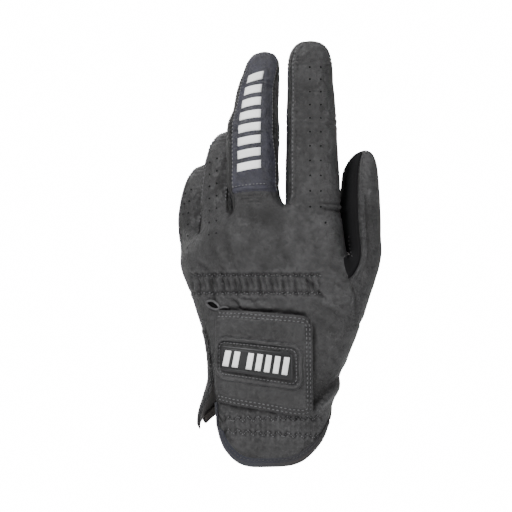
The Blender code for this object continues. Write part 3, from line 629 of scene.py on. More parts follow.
def sew(build, points, normals, pitch, length, radius, mat, start=0.5, turn=0.0):
    """A row of stitches along a line on a surface; turn slants each one, in degrees."""
    where = resample(points, pitch, start)
    if len(where) < 1:
        return
    t = np.gradient(points, axis=0)
    c = pick(points, where)
    n = units(pick(normals, where))
    d = pick(t, where)
    if turn:
        q = math.radians(turn)
        d = units(d)
        d = d * math.cos(q) + np.cross(n, d) * math.sin(q)
    stitches(build, c, d, n, length, radius, mat)


# ---- the skin: the fine net, shaped by seams, gathers, creases and wear -------------------------
cage, frames = build_cage()
pts, nor, quads, uv, pm = refine(cage, FINE)
net_u = np.zeros(len(pts))
net_v = np.zeros(len(pts))
net_patch = np.zeros(len(pts), int)
for p_id in (TIP_PATCH, HAND_PATCH, 1, 2, 3, 4, THUMB_PATCH):
    at = pm == p_id
    ids = quads[at].ravel()
    net_u[ids] = uv[at][:, :, 0].ravel()
    net_v[ids] = uv[at][:, :, 1].ravel()
    net_patch[ids] = p_id
px, pz = pts[:, 0].copy(), pts[:, 2].copy()
front = nor[:, 1] < 0.25

lift = np.zeros(len(pts))
# the tone darkens and lightens the leather's colour: random changes of shade, and painted shade in
# seams, creases and gaps with painted highlights on ridges
tone = np.zeros(len(pts))


def field(scale, seed):
    """Smooth noise over the glove's surface, about -1 to 1."""
    out = np.zeros(len(pts))
    off = Vector((seed * 13.1, seed * 7.7, seed * 3.3))
    for i in range(len(pts)):
        out[i] = noise.noise(Vector(pts[i] / scale) + off)
    return out


wide_noise = field(17.0, 1)
mid_noise = field(6.5, 2)
fine_noise = field(2.6, 3)
lift += 0.42 * wide_noise + 0.20 * mid_noise + 0.05 * fine_noise
tone += 0.16 * mid_noise + 0.14 * fine_noise + 0.12 * wide_noise


def groove(d, depth=0.55, shoulder=0.30, width=0.5, reach=1.35):
    """Section of a seam: a pinched line between two soft shoulders."""
    return -depth * bell(d, width) + shoulder * bell(np.abs(d) - reach, 0.65)


INDEX_SEAM = 7.6875


def navy_edge(v):
    """The navy panel's seam on the index finger's side, further round near the knuckle."""
    return 2.30 + 0.36 * smooth((4.6 - v) / 2.2) + 0.34 * smooth((v - 7.0) / 3.0)


ring_half = {}
for i, name in enumerate(FINGER_ORDER):
    rings = FINGERS[name][2]
    half = np.array([rings[0][2]] + [r[2] for r in rings])
    ring_half[name] = half
    mine = net_patch == i + 1
    a = np.interp(net_v, np.arange(len(half)), half)
    # each seam sinks in between soft shoulders, with painted shade along the seam and a faint painted
    # highlight on its shoulders
    for seam in (0.0, 2.0, 4.0, 6.0, 8.0):
        if name == "index" and seam in (0.0, 2.0, 4.0, 8.0):
            continue
        place = seam
        if name == "middle" and seam == 2.0:
            place = navy_edge(net_v)
        d = (net_u - place) * 0.8 * a
        near = mine & (net_v > 0.3) & (net_v < len(rings) - 0.6)
        lift[near] += groove(d[near])
        tone[near] -= 0.55 * bell(d[near], 0.7)
        tone[near] += 0.12 * bell(np.abs(d[near]) - 1.5, 0.7)
    # soft folds across the finger's joints
    for joint_v, depth in ((4.4, 0.35), (7.2, 0.25)):
        d = (net_v - joint_v) * 9.0
        wave = bell(d, 3.6) * np.cos(2 * math.pi * d / 2.6 + 1.5 * mid_noise)
        lift[mine] += depth * wave[mine] * (0.4 + 0.6 * np.clip(wide_noise[mine] + 0.4, 0, 1))
# the index finger's seam: a raised band with a stitched valley along its middle, with painted shade in
# the valley and beside the band and a painted highlight on the band
index_net = net_patch == 4
a = np.interp(net_v, np.arange(len(ring_half["index"])), ring_half["index"])
turned = np.where(net_u > 4, net_u - 8.0, net_u)
d = (turned - (INDEX_SEAM - 8.0)) * 0.8 * a
near = index_net & (net_v > 0.5) & (net_v < 10.2)
band_shape = -0.6 * bell(d, 0.45) + 0.42 * span(d, 0.6, 3.6, 0.8) - 0.22 * bell(d - 2.1, 0.5)
lift[near] += band_shape[near]
tone[near] += (-0.6 * bell(d, 0.5) + 0.16 * span(d, 0.6, 3.6, 0.8) - 0.25 * bell(d - 4.1, 0.6))[near]
thumb = net_patch == THUMB_PATCH
# the thumb's seams sink in, with painted shade along each
for seam in (1.0, 8.0):
    d = (net_u - seam) * 7.4
    near = thumb & (net_v < 8.4)
    lift[near] += groove(d[near], 0.5, 0.45, 0.5, 1.2)
    tone[near] -= 0.45 * bell(d[near], 0.6)
# the thumb's set-in seam round its opening, with painted shade along it
d = net_v * 7.0
near = thumb & (net_v < 1.2) & (net_u > 1) & (net_u < 8)
lift[near] += groove(d[near], 0.45, 0.25)
tone[near] -= 0.3 * bell(d[near], 0.8)

back = front & (net_patch == HAND_PATCH)
# gathered elastic across the back, with painted highlights on the crests of the gathers and painted
# shade in their troughs
GATHER_LO, GATHER_HI, GATHER_LEFT, GATHER_RIGHT = 87.8, 97.2, -40.5, 27.0
GATHER_PITCH, GATHER_WAVE = 3.15, 0.55
mid_z = 0.5 * (GATHER_LO + GATHER_HI)
inside = span(pz, GATHER_LO, GATHER_HI, 2.2) * span(px, GATHER_LEFT, GATHER_RIGHT, 3.0) * front
fold = np.cos(2 * math.pi * (px / GATHER_PITCH + 0.22 * wide_noise + 0.05 * (pz - mid_z)))
fold2 = np.cos(2 * math.pi * (px / (2 * GATHER_PITCH) + 0.3 * mid_noise) + 0.7)
lift += inside * (0.60 * fold + 0.42 * fold2 - 0.35)
tone += inside * (0.34 * fold + 0.16 * fold2 - 0.10)


def gather_row(x, row, phase=0.0):
    return row + GATHER_WAVE * np.sin(2 * math.pi * x / GATHER_PITCH + phase)


# the gathering stitches pull each row in: painted shade along the row, a painted highlight on its
# shoulders
for row in (GATHER_LO, GATHER_HI):
    d = pz - gather_row(px, row)
    on = span(px, GATHER_LEFT, GATHER_RIGHT, 3.0) * front
    lift += on * (-0.75 * bell(d, 0.75) + 0.45 * bell(np.abs(d) - 1.9, 1.0))
    tone += on * (-0.62 * bell(d, 0.7) + 0.22 * bell(np.abs(d) - 1.9, 0.9))
# one deeper pleat, darkened with painted shade
d = px + 28.6 + 0.08 * (pz - 90.0)
on = span(pz, 84.0, 97.0, 3.0) * front
lift -= 1.1 * on * bell(d, 0.8)
tone -= 0.8 * on * bell(d, 0.8)
lift += 0.5 * on * bell(d - 2.0, 1.1)
# ripples that run out of the gathers above and below
run_out = span(px, GATHER_LEFT + 3, GATHER_RIGHT - 3, 4.0) * front
away = np.where(pz > mid_z, pz - GATHER_HI, GATHER_LO - pz)
lift += run_out * (away > 0) * bell(away, 5.0) * 0.22 * fold2

# the cuff's two zigzag rows over elastic
CUFF_ROWS = [(23.0, 0.02), (15.2, -0.055)]      # height in the middle and slope
ZIGZAG_PITCH, ZIGZAG_HEIGHT = 5.2, 2.6


def cuff_row(x, row):
    base, slope = row
    return base + slope * x + ZIGZAG_HEIGHT * (2 * np.abs((x / ZIGZAG_PITCH) % 1.0 - 0.5) - 0.5)


cuff_on = back * span(px, -25.0, 28.0, 3.0)
for row in CUFF_ROWS:
    d = pz - cuff_row(px, row)
    pucker = np.cos(2 * math.pi * (px / 2.6 + 0.25 * mid_noise))
    pucker = pucker * bell(d, 2.8)
    # each row sinks in and puckers: painted shade along the row and in the troughs of the puckers,
    # painted highlights on its shoulders and the crests
    lift += cuff_on * (-0.5 * bell(d, 0.7) + 0.35 * bell(np.abs(d) - 2.0, 1.3) + 0.30 * pucker)
    tone += cuff_on * (-0.55 * bell(d, 0.7) + 0.22 * bell(np.abs(d) - 2.0, 1.0) + 0.25 * pucker)
# the roll of leather that comes round from the heel of the hand over the cuff's thumb side, with a
# painted highlight on the roll and painted shade in the crease beside it
across_roll = (px - 27.0) * 0.66 - (pz - 33.0) * 0.75
d = across_roll
on = front * span(pz, 25.0, 48.0, 6.0) * (px > 14)
lift += on * (1.5 * bell(d - 2.2, 2.4) - 0.9 * bell(d + 1.4, 1.2))
tone += on * (0.15 * bell(d - 2.2, 2.0) - 0.5 * bell(d + 1.4, 1.2))


def crease(x0, z0, x1, z1, depth, width, curve=0.0):
    """A soft crease from one place on the back to another."""
    a = np.array([x0, z0])
    b = np.array([x1, z1])
    along = b - a
    length = np.linalg.norm(along)
    along = along / length
    s = (px - a[0]) * along[0] + (pz - a[1]) * along[1]
    off = -(px - a[0]) * along[1] + (pz - a[1]) * along[0]
    off = off - curve * np.sin(math.pi * np.clip(s / length, 0, 1))
    on = span(s, 0.0, length, 0.5 * length) * front
    shape = -bell(off, width) + 0.55 * bell(off - 1.9 * width, 1.3 * width)
    return depth * on * shape


for spot in (
    (28.0, 131.5, 40.0, 130.0, 0.8, 0.9, 0.4), (26.0, 134.6, 38.0, 134.2, 0.45, 0.8, -0.3),
    (-19.0, 84.5, -13.5, 79.0, 0.7, 0.9, 0.8), (-15.0, 85.5, -6.0, 82.0, 0.45, 1.0, 0.6),
    (18.0, 96.0, 27.5, 87.0, 0.8, 0.8, 0.6), (21.0, 92.0, 31.0, 84.0, 0.6, 1.0, -0.5),
    (23.0, 76.0, 36.0, 66.0, 0.55, 1.3, 1.0), (24.0, 82.0, 39.0, 74.0, 0.5, 1.4, 1.2),
    (27.0, 58.0, 38.0, 50.0, 0.45, 1.4, 0.8), (30.0, 104.0, 44.0, 92.0, 0.5, 1.6, 1.4),
    (-9.0, 132.0, -8.0, 118.0, 0.55, 1.6, 0.6), (6.0, 128.0, 9.0, 104.0, 0.45, 2.4, -1.0),
    (-38.0, 104.0, -30.0, 99.0, 0.5, 1.1, 0.4), (-30.0, 112.0, -24.0, 100.0, 0.5, 1.5, 0.8),
    (-22.0, 122.0, -19.0, 104.0, 0.45, 1.8, -0.6), (22.0, 122.0, 26.0, 102.0, 0.4, 2.2, 0.8),
):
    # each crease is painted into the tone as well: painted shade in the crease and a painted highlight
    # on its shoulder
    c = crease(*spot)
    lift += c
    tone += 0.55 * c


def tab_top(x):
    return np.interp(x, [-27, -12, 11, 23], [79.2, 78.8, 77.0, 75.6])


def tab_bottom(x):
    return np.interp(x, [-27, -17, -1, 12, 23], [32.2, 29.6, 26.9, 24.4, 23.6])


# the glove bulges over the tab's top edge, with a deep gap under the bulge; painted shadow darkens the
# gap and a faint painted highlight lies on the bulge
d = pz - tab_top(px)
on = front * span(px, -25.5, 20.0, 5.0)
lift += on * (-0.9 * bell(d - 0.4, 0.8) + 1.15 * bell(d - 3.0, 1.7) * (0.75 + 0.5 * mid_noise))
tone += on * (-1.0 * bell(d - 0.5, 0.65) + 0.08 * bell(d - 3.2, 1.6))
# and it sinks in beside the tab's free edge, most of all above the roll at the heel; painted shadow
# darkens the strip beside the edge and the triangle above the roll
d = px - 23.3
on = front * span(pz, 25.0, 72.0, 9.0)
tone -= on * 1.15 * bell(d, 0.75)
lift -= on * 0.5 * bell(d, 1.2)
heel_painted_shadow = front * smooth((px - 22.6) / 0.6) * span(pz, 28.0, 50.0, 6.0) * bell(across_roll + 3.3, 3.0)
tone -= 0.95 * heel_painted_shadow
lift -= 0.5 * heel_painted_shadow

# broad painted light and shade over the back: lighter towards the thumb side high on the back, darker
# towards the little finger's side
broad_painted_light = 0.22 * bell(px - 20, 17) * bell(pz - 112, 24) - 0.10 * bell(px + 30, 14) * bell(pz - 104, 22)
tone += back * broad_painted_light
# leather bunched under the navy finger's hem, with painted highlights on its ripples and painted shade
# between them, and a patch of painted shade below it for the hollow there
on = span(px, -14.5, -3.0, 3.0) * span(pz, 133.5, 140.0, 2.0) * front
ripple = np.cos(2 * math.pi * (pz + 0.5 * mid_noise) / 1.7)
lift += 0.28 * on * ripple
tone += on * (0.16 * ripple - 0.12)
hollow_painted_shade = bell(px - 0.5, 9.5) * bell(pz - 127.0, 5.5) * front
tone -= 0.55 * hollow_painted_shade

# deep shade where the fingers press together
for i in (1, 2):
    side = (net_patch == i) & (net_u > 2.0) & (net_u < 4.0)
    tone[side] -= 0.35

# the middle finger's left side stands over the ring finger, and its tip leans to the right
middle_net = net_patch == 3
lift += middle_net * 1.9 * span(pz, 141.0, 180.0, 9.0) * bell(turned + 0.35, 0.75)
# the thumb's black side fills out towards the index finger
inner_net = thumb & ((net_u > 7.5) | (net_u < 1.5))
lift += inner_net * 1.9 * span(pz, 104.0, 138.0, 12.0)
lift += (net_patch == HAND_PATCH) * 0.8 * bell(px - 39.0, 4.0) * bell(pz - 116.0, 16.0)
pts = pts + nor * lift[:, None]
tip_zone = (px > -16) & (px < 6) & (pz > 192)
lean = smooth((pz - 194.0) / 14.0) * tip_zone
pts[:, 0] += 0.7 * lean
pts[:, 2] += lean * np.clip(0.12 * (px + 4.5), -0.9, 0.9)
warped = (net_patch == HAND_PATCH) & (net_u > 18) & (net_u < SLIT_COLUMN)
pts[warped] += flare(net_u[warped], net_v[warped])
nor = normals_of(pts, quads)
tree = bvhtree.BVHTree.FromPolygons(pts.tolist(), quads.tolist())

fine = (pts, nor, quads, uv, pm)
hand = Surface(fine, 0, 20, 11, FINE)
finger = {}
for i, name in enumerate(FINGER_ORDER):
    finger[name] = Surface(fine, i + 1, 8, len(FINGERS[name][2]), FINE)
thumb_skin = Surface(fine, 5, 10, len(THUMB), FINE)

# ---- which piece each quad of the skin belongs to -----------------------------------------------
cu = uv[:, :, 0].mean(axis=1)
cv = uv[:, :, 1].mean(axis=1)
SLIT_ROW = 4.0          # where the slit starts
SPLIT_ROW = 4.0         # where the curled fingers' far ends start
PALM_TAPE_END = 19.12   # where the palm's tape stops, short of the slit
CURLED = ("pinky", "ring")
label = np.full(len(quads), "", dtype=object)
is_hand = pm == HAND_PATCH
is_back = (cu < 9) | (cu > 19)
slit_side = (cu > 19) & (cv > SLIT_ROW)
label[is_hand & is_back & ~slit_side] = "back_panel"
label[is_hand & (~is_back | slit_side)] = "palm_panel"
# the slit itself, and the free corner below its hem
label[is_hand & (cu > 19.93) & (cv > SLIT_ROW + 0.1)] = "cut"
label[is_hand & (cu > PALM_TAPE_END) & (cv > 10.62)] = "cut"
for i, name in enumerate(FINGER_ORDER):
    mine = pm == i + 1
    low = mine & (cv < 1)
    far = mine & (cv > 1)
    top = cu < 2
    if name == "middle":
        top = (cu < 2) | ((cu < navy_edge(cv)) & (cv > 1))
    if name == "index":
        top = (cu < 2) | (cu > INDEX_SEAM)
    under = (cu > 4) & (cu < 6)
    right = (cu > 2) & (cu < 4) & ~top
    left = (cu > 6) & ~top
    label[low & top] = "back_panel"
    label[low & under] = "palm_panel"
    label[far & top] = name + "_back"
    label[far & under] = name + "_palm"
    for side, other, on_back in ((right, i + 1, cu < 3), (left, i - 1, cu > 7)):
        if 0 <= other < len(FINGER_ORDER):
            pair = (FINGER_ORDER[min(i, other)], FINGER_ORDER[max(i, other)])
            label[low & side] = "web_" + "_".join(pair)
            label[far & side] = name + "_side_to_" + FINGER_ORDER[other]
        else:
            label[low & side & on_back] = "back_panel"
            label[low & side & ~on_back] = "palm_panel"
            label[far & side & on_back] = name + "_back"
            label[far & side & ~on_back] = name + "_palm"
is_thumb = pm == THUMB_PATCH
inner_side = (cu > 8) | (cu < 1)
label[is_thumb & (cv < 1) & inner_side] = "thumb_crotch_gusset"
label[is_thumb & (cv < 1) & ~inner_side] = "thumb_base_panel"
label[is_thumb & (cv > 1) & inner_side] = "thumb_inner"
label[is_thumb & (cv > 1) & ~inner_side] = "thumb_outer"
caps = np.flatnonzero(pm == TIP_PATCH)
tips = pts[quads[caps]].mean(axis=1)
for f, c in zip(caps, tips):
    near = {nm: np.linalg.norm(frames[nm][-1][0] - c) for nm in FINGER_ORDER}
    best = min(near, key=near.get)
    label[f] = best + "_palm" if near[best] < 6 else "thumb_outer"
    cv[f] = 10.0
for name in CURLED:
    mine = np.array([str(s).startswith(name + "_") for s in label]) & (cv > SPLIT_ROW)
    label[mine] = np.array([s + "_end" for s in label[mine]], dtype=object)
# ---- materials ----------------------------------------------------------------------------------
class Nodes:
    """A short way to write a node tree."""

    def __init__(self, name):
        self.mat = bpy.data.materials.new(name)
        self.mat.use_nodes = True
        self.tree = self.mat.node_tree
        self.shader = self.tree.nodes["Principled BSDF"]
        coords = self.tree.nodes.new("ShaderNodeTexCoord")
        self.where = coords.outputs["Object"]

    def put(self, kind, **settings):
        node = self.tree.nodes.new(kind)
        for key, value in settings.items():
            setattr(node, key, value)
        return node

    def link(self, a, b):
        self.tree.links.new(a, b)

    def texture(self, kind, output, values, **settings):
        n = self.put(kind, **settings)
        for key, value in values.items():
            n.inputs[key].default_value = value
        self.link(self.where, n.inputs["Vector"])
        return n.outputs[output]

    def noise(self, scale, detail=2.0):
        return self.texture("ShaderNodeTexNoise", "Fac", {"Scale": scale, "Detail": detail})

    def cells(self, scale):
        values = {"Scale": scale}
        return self.texture("ShaderNodeTexVoronoi", "Distance", values, feature="DISTANCE_TO_EDGE")

    def wave(self, scale, direction, distortion=0.0):
        values = {"Scale": scale, "Distortion": distortion}
        return self.texture("ShaderNodeTexWave", "Fac", values, bands_direction=direction)

    def math(self, op, a, b):
        n = self.put("ShaderNodeMath", operation=op)
        for k, value in enumerate((a, b)):
            if isinstance(value, (int, float)):
                n.inputs[k].default_value = value
            else:
                self.link(value, n.inputs[k])
        return n.outputs[0]

    def sum(self, *terms):
        total = terms[0]
        for term in terms[1:]:
            total = self.math("ADD", total, term)
        return total

    def times(self, a, b):
        return self.math("MULTIPLY", a, b)

    def range(self, value, lo, hi, to_lo, to_hi):
        n = self.put("ShaderNodeMapRange")
        self.link(value, n.inputs[0])
        for k, x in enumerate((lo, hi, to_lo, to_hi)):
            n.inputs[k + 1].default_value = x
        return n.outputs[0]

    def ramp(self, value, stops):
        n = self.put("ShaderNodeValToRGB")
        ramp = n.color_ramp
        while len(ramp.elements) < len(stops):
            ramp.elements.new(0.5)
        for e, (pos, colour) in zip(ramp.elements, stops):
            e.position = pos
            e.color = (*colour, 1.0)
        self.link(value, n.inputs[0])
        return n.outputs["Color"]

    def tone(self):
        n = self.put("ShaderNodeAttribute", attribute_name="tone")
        return n.outputs["Fac"]

    def bump(self, height, distance, strength=1.0, below=None):
        n = self.put("ShaderNodeBump")
        n.inputs["Distance"].default_value = distance
        n.inputs["Strength"].default_value = strength
        self.link(height, n.inputs["Height"])
        if below is not None:
            self.link(below, n.inputs["Normal"])
        return n.outputs["Normal"]

    def done(self, colour, rough, normal=None, **uniform):
        self.link(colour, self.shader.inputs["Base Color"])
        self.link(rough, self.shader.inputs["Roughness"])
        if normal is not None:
            self.link(normal, self.shader.inputs["Normal"])
        for key, value in uniform.items():
            self.shader.inputs[key.replace("_", " ")].default_value = value
        return self.mat


def shades(colour, *factors):
    return [tuple(min(1.0, c * f) for c in colour) for f in factors]


def leather(name, colour, rough=(0.34, 0.46), grain=1.0):
    """Thin grained leather: pebbled grain, pores, slow changes of shade, and the tone's painted shade in
    folds and seams and painted highlights on ridges.
    """
    t = Nodes(name)
    cells = t.cells(1350.0)
    fine_cells = t.cells(2600.0)
    slow = t.noise(38.0, 3.0)
    quick = t.noise(420.0, 2.0)
    folds = t.noise(130.0, 4.0)
    shade = t.sum(t.times(t.tone(), 0.8), 0.5, t.range(folds, 0.35, 0.65, -0.06, 0.06),
                  t.range(slow, 0.35, 0.65, -0.10, 0.10), t.range(quick, 0.3, 0.7, -0.13, 0.13),
                  t.range(cells, 0.0, 0.08, -0.06, 0.02))
    base = t.ramp(shade, list(zip((0.0, 0.34, 0.52, 0.88), shades(colour, 0.20, 0.60, 1.0, 2.05))))
    r = t.sum(t.range(slow, 0.35, 0.65, *rough), t.range(quick, 0.3, 0.7, -0.03, 0.04))
    pores = t.times(t.math("MINIMUM", fine_cells, 0.1), 0.4)
    n = t.bump(t.sum(t.math("MINIMUM", cells, 0.09), pores), 0.0020 * grain, 0.75)
    n = t.bump(quick, 0.0011 * grain, 0.75, below=n)
    n = t.bump(folds, 0.0030 * grain, 0.7, below=n)
    return t.done(base, r, n, Specular_IOR_Level=0.5, Sheen_Roughness=0.5)


def thread(name, colour):
    """Twisted thread: fine slanted bands."""
    t = Nodes(name)
    twist = t.wave(1500.0, "DIAGONAL")
    slow = t.noise(900.0)
    shade = t.sum(t.times(twist, 0.6), t.times(slow, 0.4))
    base = t.ramp(shade, list(zip((0.15, 0.85), shades(colour, 0.6, 1.25))))
    r = t.range(slow, 0.3, 0.7, 0.55, 0.75)
    return t.done(base, r, t.bump(twist, 0.0001, 0.5), Sheen_Weight=0.2)


def matt(name, colour, scale=1200.0, depth=0.0002, rough=(0.75, 0.95), sheen=0.0, spec=0.3):
    """A matt material with fine uneven nap."""
    t = Nodes(name)
    fuzz = t.noise(scale, 4.0)
    slow = t.noise(60.0, 2.0)
    shade = t.sum(t.times(fuzz, 0.7), t.times(slow, 0.3))
    base = t.ramp(shade, list(zip((0.3, 0.7), shades(colour, 0.7, 1.3))))
    r = t.range(fuzz, 0.3, 0.7, rough[0], rough[1])
    return t.done(base, r, t.bump(fuzz, depth, 0.6), Sheen_Weight=sheen, Specular_IOR_Level=spec)


def tape(name, left, right):
    """Woven tape: fine ribs, one colour at the little finger's side and another at the thumb's."""
    t = Nodes(name)
    split = t.put("ShaderNodeSeparateXYZ")
    t.link(t.where, split.inputs[0])
    across = t.range(split.outputs["X"], -0.012, 0.026, 0.0, 1.0)
    rib = t.wave(420.0, "X", distortion=0.3)
    weave = t.wave(620.0, "Z")
    fuzz = t.noise(1500.0, 2.0)
    cloth = t.sum(t.times(rib, 0.5), t.times(weave, 0.25), t.times(fuzz, 0.35))
    hue = t.ramp(across, [(0.0, left), (1.0, right)])
    light = t.ramp(cloth, [(0.2, (0.62, 0.62, 0.62)), (0.9, (1.2, 1.2, 1.2))])
    mix = t.put("ShaderNodeMix", data_type="RGBA", blend_type="MULTIPLY")
    mix.inputs["Factor"].default_value = 1.0
    t.link(hue, mix.inputs["A"])
    t.link(light, mix.inputs["B"])
    r = t.range(fuzz, 0.3, 0.7, 0.6, 0.8)
    return t.done(mix.outputs["Result"], r, t.bump(cloth, 0.00018, 0.6), Sheen_Weight=0.12)


def rubber(name, colour, rough=(0.38, 0.52)):
    """Soft moulded rubber or print: a faint orange-peel surface with dull patches."""
    t = Nodes(name)
    peel = t.noise(1100.0, 2.0)
    slow = t.noise(90.0, 3.0)
    shade = t.sum(t.times(slow, 0.7), t.times(peel, 0.3))
    base = t.ramp(shade, list(zip((0.3, 0.7), shades(colour, 0.85, 1.12))))
    r = t.range(slow, 0.3, 0.7, rough[0], rough[1])
    return t.done(base, r, t.bump(peel, 0.00006, 0.5), Specular_IOR_Level=0.45)


CHARCOAL = (0.0225, 0.0225, 0.0232)
M = {
    "leather": leather("charcoal_leather", CHARCOAL),
    "tab": leather("tab_leather_finish", (0.021, 0.021, 0.0217), grain=0.8),
    "side": leather("side_leather_finish", (0.010, 0.010, 0.0105)),
    "navy": leather("navy_leather_finish", (0.014, 0.014, 0.023), rough=(0.38, 0.52), grain=0.6),
    "inner": matt("thumb_inner_finish", (0.006, 0.006, 0.0065), spec=0.12),
    "lining": matt("suede_lining", (0.045, 0.041, 0.039), sheen=0.25),
    "thread": thread("charcoal_thread", (0.115, 0.115, 0.12)),
    "thread_dark": thread("dark_thread", (0.018, 0.018, 0.020)),
    # the bottom of every punched hole and of the keyhole: near-black painted shade in place of the
    # hole's depth
    "hole": matt("punched_hole_painted_shade", (0.004, 0.004, 0.004), spec=0.05),
    "white": rubber("white_print", (0.95, 0.95, 0.95), (0.45, 0.6)),
    "rubber": rubber("badge_rubber_finish", (0.010, 0.010, 0.011)),
    "tape": tape("binding_tape_finish", (0.018, 0.019, 0.026), (0.020, 0.014, 0.012)),
    "brown_tape": tape("palm_binding_finish", (0.030, 0.022, 0.018), (0.026, 0.019, 0.016)),
    "navy_tape": tape("binding_navy_finish", (0.006, 0.007, 0.016), (0.007, 0.006, 0.008)),
    "elastic": tape("elastic_finish", (0.022, 0.022, 0.024), (0.022, 0.022, 0.024)),
    "hook": matt("hook_and_loop_finish", (0.015, 0.015, 0.017), 2400.0, 0.0006, sheen=0.4),
    # the keyhole's rolled leather: the charcoal leather made brighter as a painted highlight
    "piping": leather("piping_painted_highlight_finish", (0.050, 0.050, 0.052), grain=0.6),
}
# ---- leather pieces ----------------------------------------------------------------------------
BODY = {"hand": "hand", "thumb": "thumb"}
for name in FINGER_ORDER:
    BODY[name] = name + "_finger"
THREAD, THREAD_DARK, HOLE, LINING, WHITE = 1, 2, 3, 4, 5
SKIN_OF = {"middle_back": "navy", "thumb_inner": "inner", "thumb_crotch_gusset": "inner"}
SLOT_OF = {"middle_back": "navy_leather", "thumb_inner": "thumb_inner_leather",
           "thumb_crotch_gusset": "thumb_inner_leather"}


def owner(piece):
    """The hand, finger or thumb a piece belongs to."""
    first = piece.split("_")[0]
    if first in FINGER_ORDER:
        return first
    if piece in ("thumb_inner", "thumb_outer"):
        return "thumb"
    return "hand"


def skin_piece(piece):
    """The closed leather body of one region of the skin, with its suede inside."""
    take = np.flatnonzero(label == piece)
    q = quads[take]
    used, local = np.unique(q, return_inverse=True)
    local = local.reshape(q.shape)
    p = pts[used]
    n = nor[used]
    m = len(p)
    a = local.ravel()
    b = np.roll(local, -1, axis=1).ravel()
    forward = a.astype(np.int64) * m + b
    reverse = b.astype(np.int64) * m + a
    rim = ~np.isin(forward, reverse)
    ra, rb = a[rim], b[rim]
    build = Build()
    build.add(np.concatenate([p, p - n * LEATHER]), local, 0,
              normals=np.concatenate([n, -n]), tone=np.concatenate([tone[used], np.zeros(m)]))
    build.more(local[:, ::-1] + m, LINING)
    build.more(np.stack([rb, ra, ra + m, rb + m], axis=1), 0)
    return build


builds = {piece: skin_piece(piece) for piece in sorted(set(label) - {"", "cut"})}


def hit(x, z):
    """Where the glove's front shows at this x and z: place, normal, piece."""
    where, n, face = tree.ray_cast(Vector((x, -120.0, z)), Vector((0.0, 1.0, 0.0)))[:3]
    if where is None:
        return None
    return np.array(where), np.array(n), label[face]


def punch(spots, radius=0.55):
    """Ventilation holes at these places on the back."""
    found = {}
    for x, z in spots:
        h = hit(x, z)
        if h is not None and h[2] in builds:
            found.setdefault(h[2], []).append((h[0], h[1]))
    for piece, items in found.items():
        eyelets(builds[piece], *zip(*items), radius, 0, HOLE)


def upright(points):
    """Points given as x and z, as x, y and z with no depth."""
    return np.insert(points, 1, 0.0, axis=1)


def on_skin(points, pitch, length, radius, mat, turn=0.0, start=0.5):
    """A row of stitches dropped onto the glove's front along a line given as x and z."""
    points = np.asarray(points, float)
    flat = upright(points)
    where = resample(flat, pitch, start)
    c = pick(flat, where)
    d = pick(np.gradient(flat, axis=0), where)
    found = {}
    for k in range(len(c)):
        h = hit(c[k, 0], c[k, 2])
        ahead = 0.2 * d[k] / np.linalg.norm(d[k])
        e = hit(c[k, 0] + ahead[0], c[k, 2] + ahead[2])
        if h is None or e is None or h[2] not in builds:
            continue
        step = e[0] - h[0]
        q = math.radians(turn)
        step = step * math.cos(q) + np.cross(h[1], step) * math.sin(q)
        found.setdefault(h[2], []).append((h[0], step, h[1]))
    for piece, items in found.items():
        stitches(builds[piece], *zip(*items), length, radius, mat)


def bowed(x0, z0, x1, z1, bow, count=40):
    """A bowed line from one place to another on the back."""
    t = np.linspace(0, 1, count)
    a = np.array([x0, z0])
    b = np.array([x1, z1])
    side = np.array([-(b - a)[1], (b - a)[0]]) / np.linalg.norm(b - a)
    return a + (b - a) * t[:, None] + side * (bow * np.sin(math.pi * t))[:, None]


# ventilation holes: the index finger's two columns, the ring finger's and the little finger's
rows = np.arange(11)
index_z = 204.9 - 6.15 * rows - 0.108 * rows ** 2
left = [(21.6 + 0.02 * k, z) for k, z in enumerate(index_z)]
punch(left + [(27.3, z) for z in index_z] + [(29.8, 124.4)])
left = [(-30.4 - 0.05 * k, 156.0 - 6.3 * k) for k in range(7)]
punch(left + [(-26.6 - 0.05 * k, 158.0 - 6.5 * k) for k in range(7)])
punch([(-40.2 - 1.8 * (1 - math.exp(-0.9 * k)), 142.0 - 6.1 * k) for k in range(6)])
punch([(-43.4 - 0.55 * k, 139.9 - 5.4 * k) for k in (0, 1, 2, 4)])


def seam_line(surface, u, v0, v1, count=160):
    v = np.linspace(v0, v1, count)
    return surface.at(np.full(count, u), v)


def along_seam(name, u, v0, v1, mat, side="_back"):
    """Stitches beside a finger's seam, sewn to the piece they lie on."""
    surface = finger[name]
    parts = [(v0, v1, "")]
    if name in CURLED:
        parts = [(v0, min(SPLIT_ROW, v1), ""), (SPLIT_ROW, v1, "_end")]
    for lo, hi, end in parts:
        if hi - lo < 0.2:
            continue
        p, n = seam_line(surface, u, lo, hi)
        sew(builds[name + side + end], p, n, 2.15, 1.25, 0.30, mat)


SEWN_FROM = 1.05        # just past the row where a finger leaves the hand
for name in FINGER_ORDER:
    last = len(FINGERS[name][2]) - 1.6
    half = FINGERS[name][2][3][2]
    off = 1.35 / (0.8 * half)
    if name == "index":
        along_seam(name, INDEX_SEAM + 0.20, SEWN_FROM, last, THREAD)
        continue
    along_seam(name, off, SEWN_FROM, last, THREAD)
    if name == "middle":
        v = np.linspace(SEWN_FROM, last, 200)
        p, n = finger[name].at(navy_edge(v) - 1.15 / (0.8 * half), v)
        sew(builds["middle_back"], p, n, 2.0, 1.4, 0.25, THREAD)
    else:
        along_seam(name, 2.0 - off, SEWN_FROM, last, THREAD)
    along_seam(name, 4.0 + off, SEWN_FROM, last, THREAD_DARK, side="_palm")
    along_seam(name, 6.0 - off, SEWN_FROM, last, THREAD_DARK, side="_palm")
p, n = seam_line(finger["index"], 6.0 - 0.12, SEWN_FROM, 9.0)
sew(builds["index_palm"], p, n, 2.15, 1.25, 0.23, THREAD_DARK)

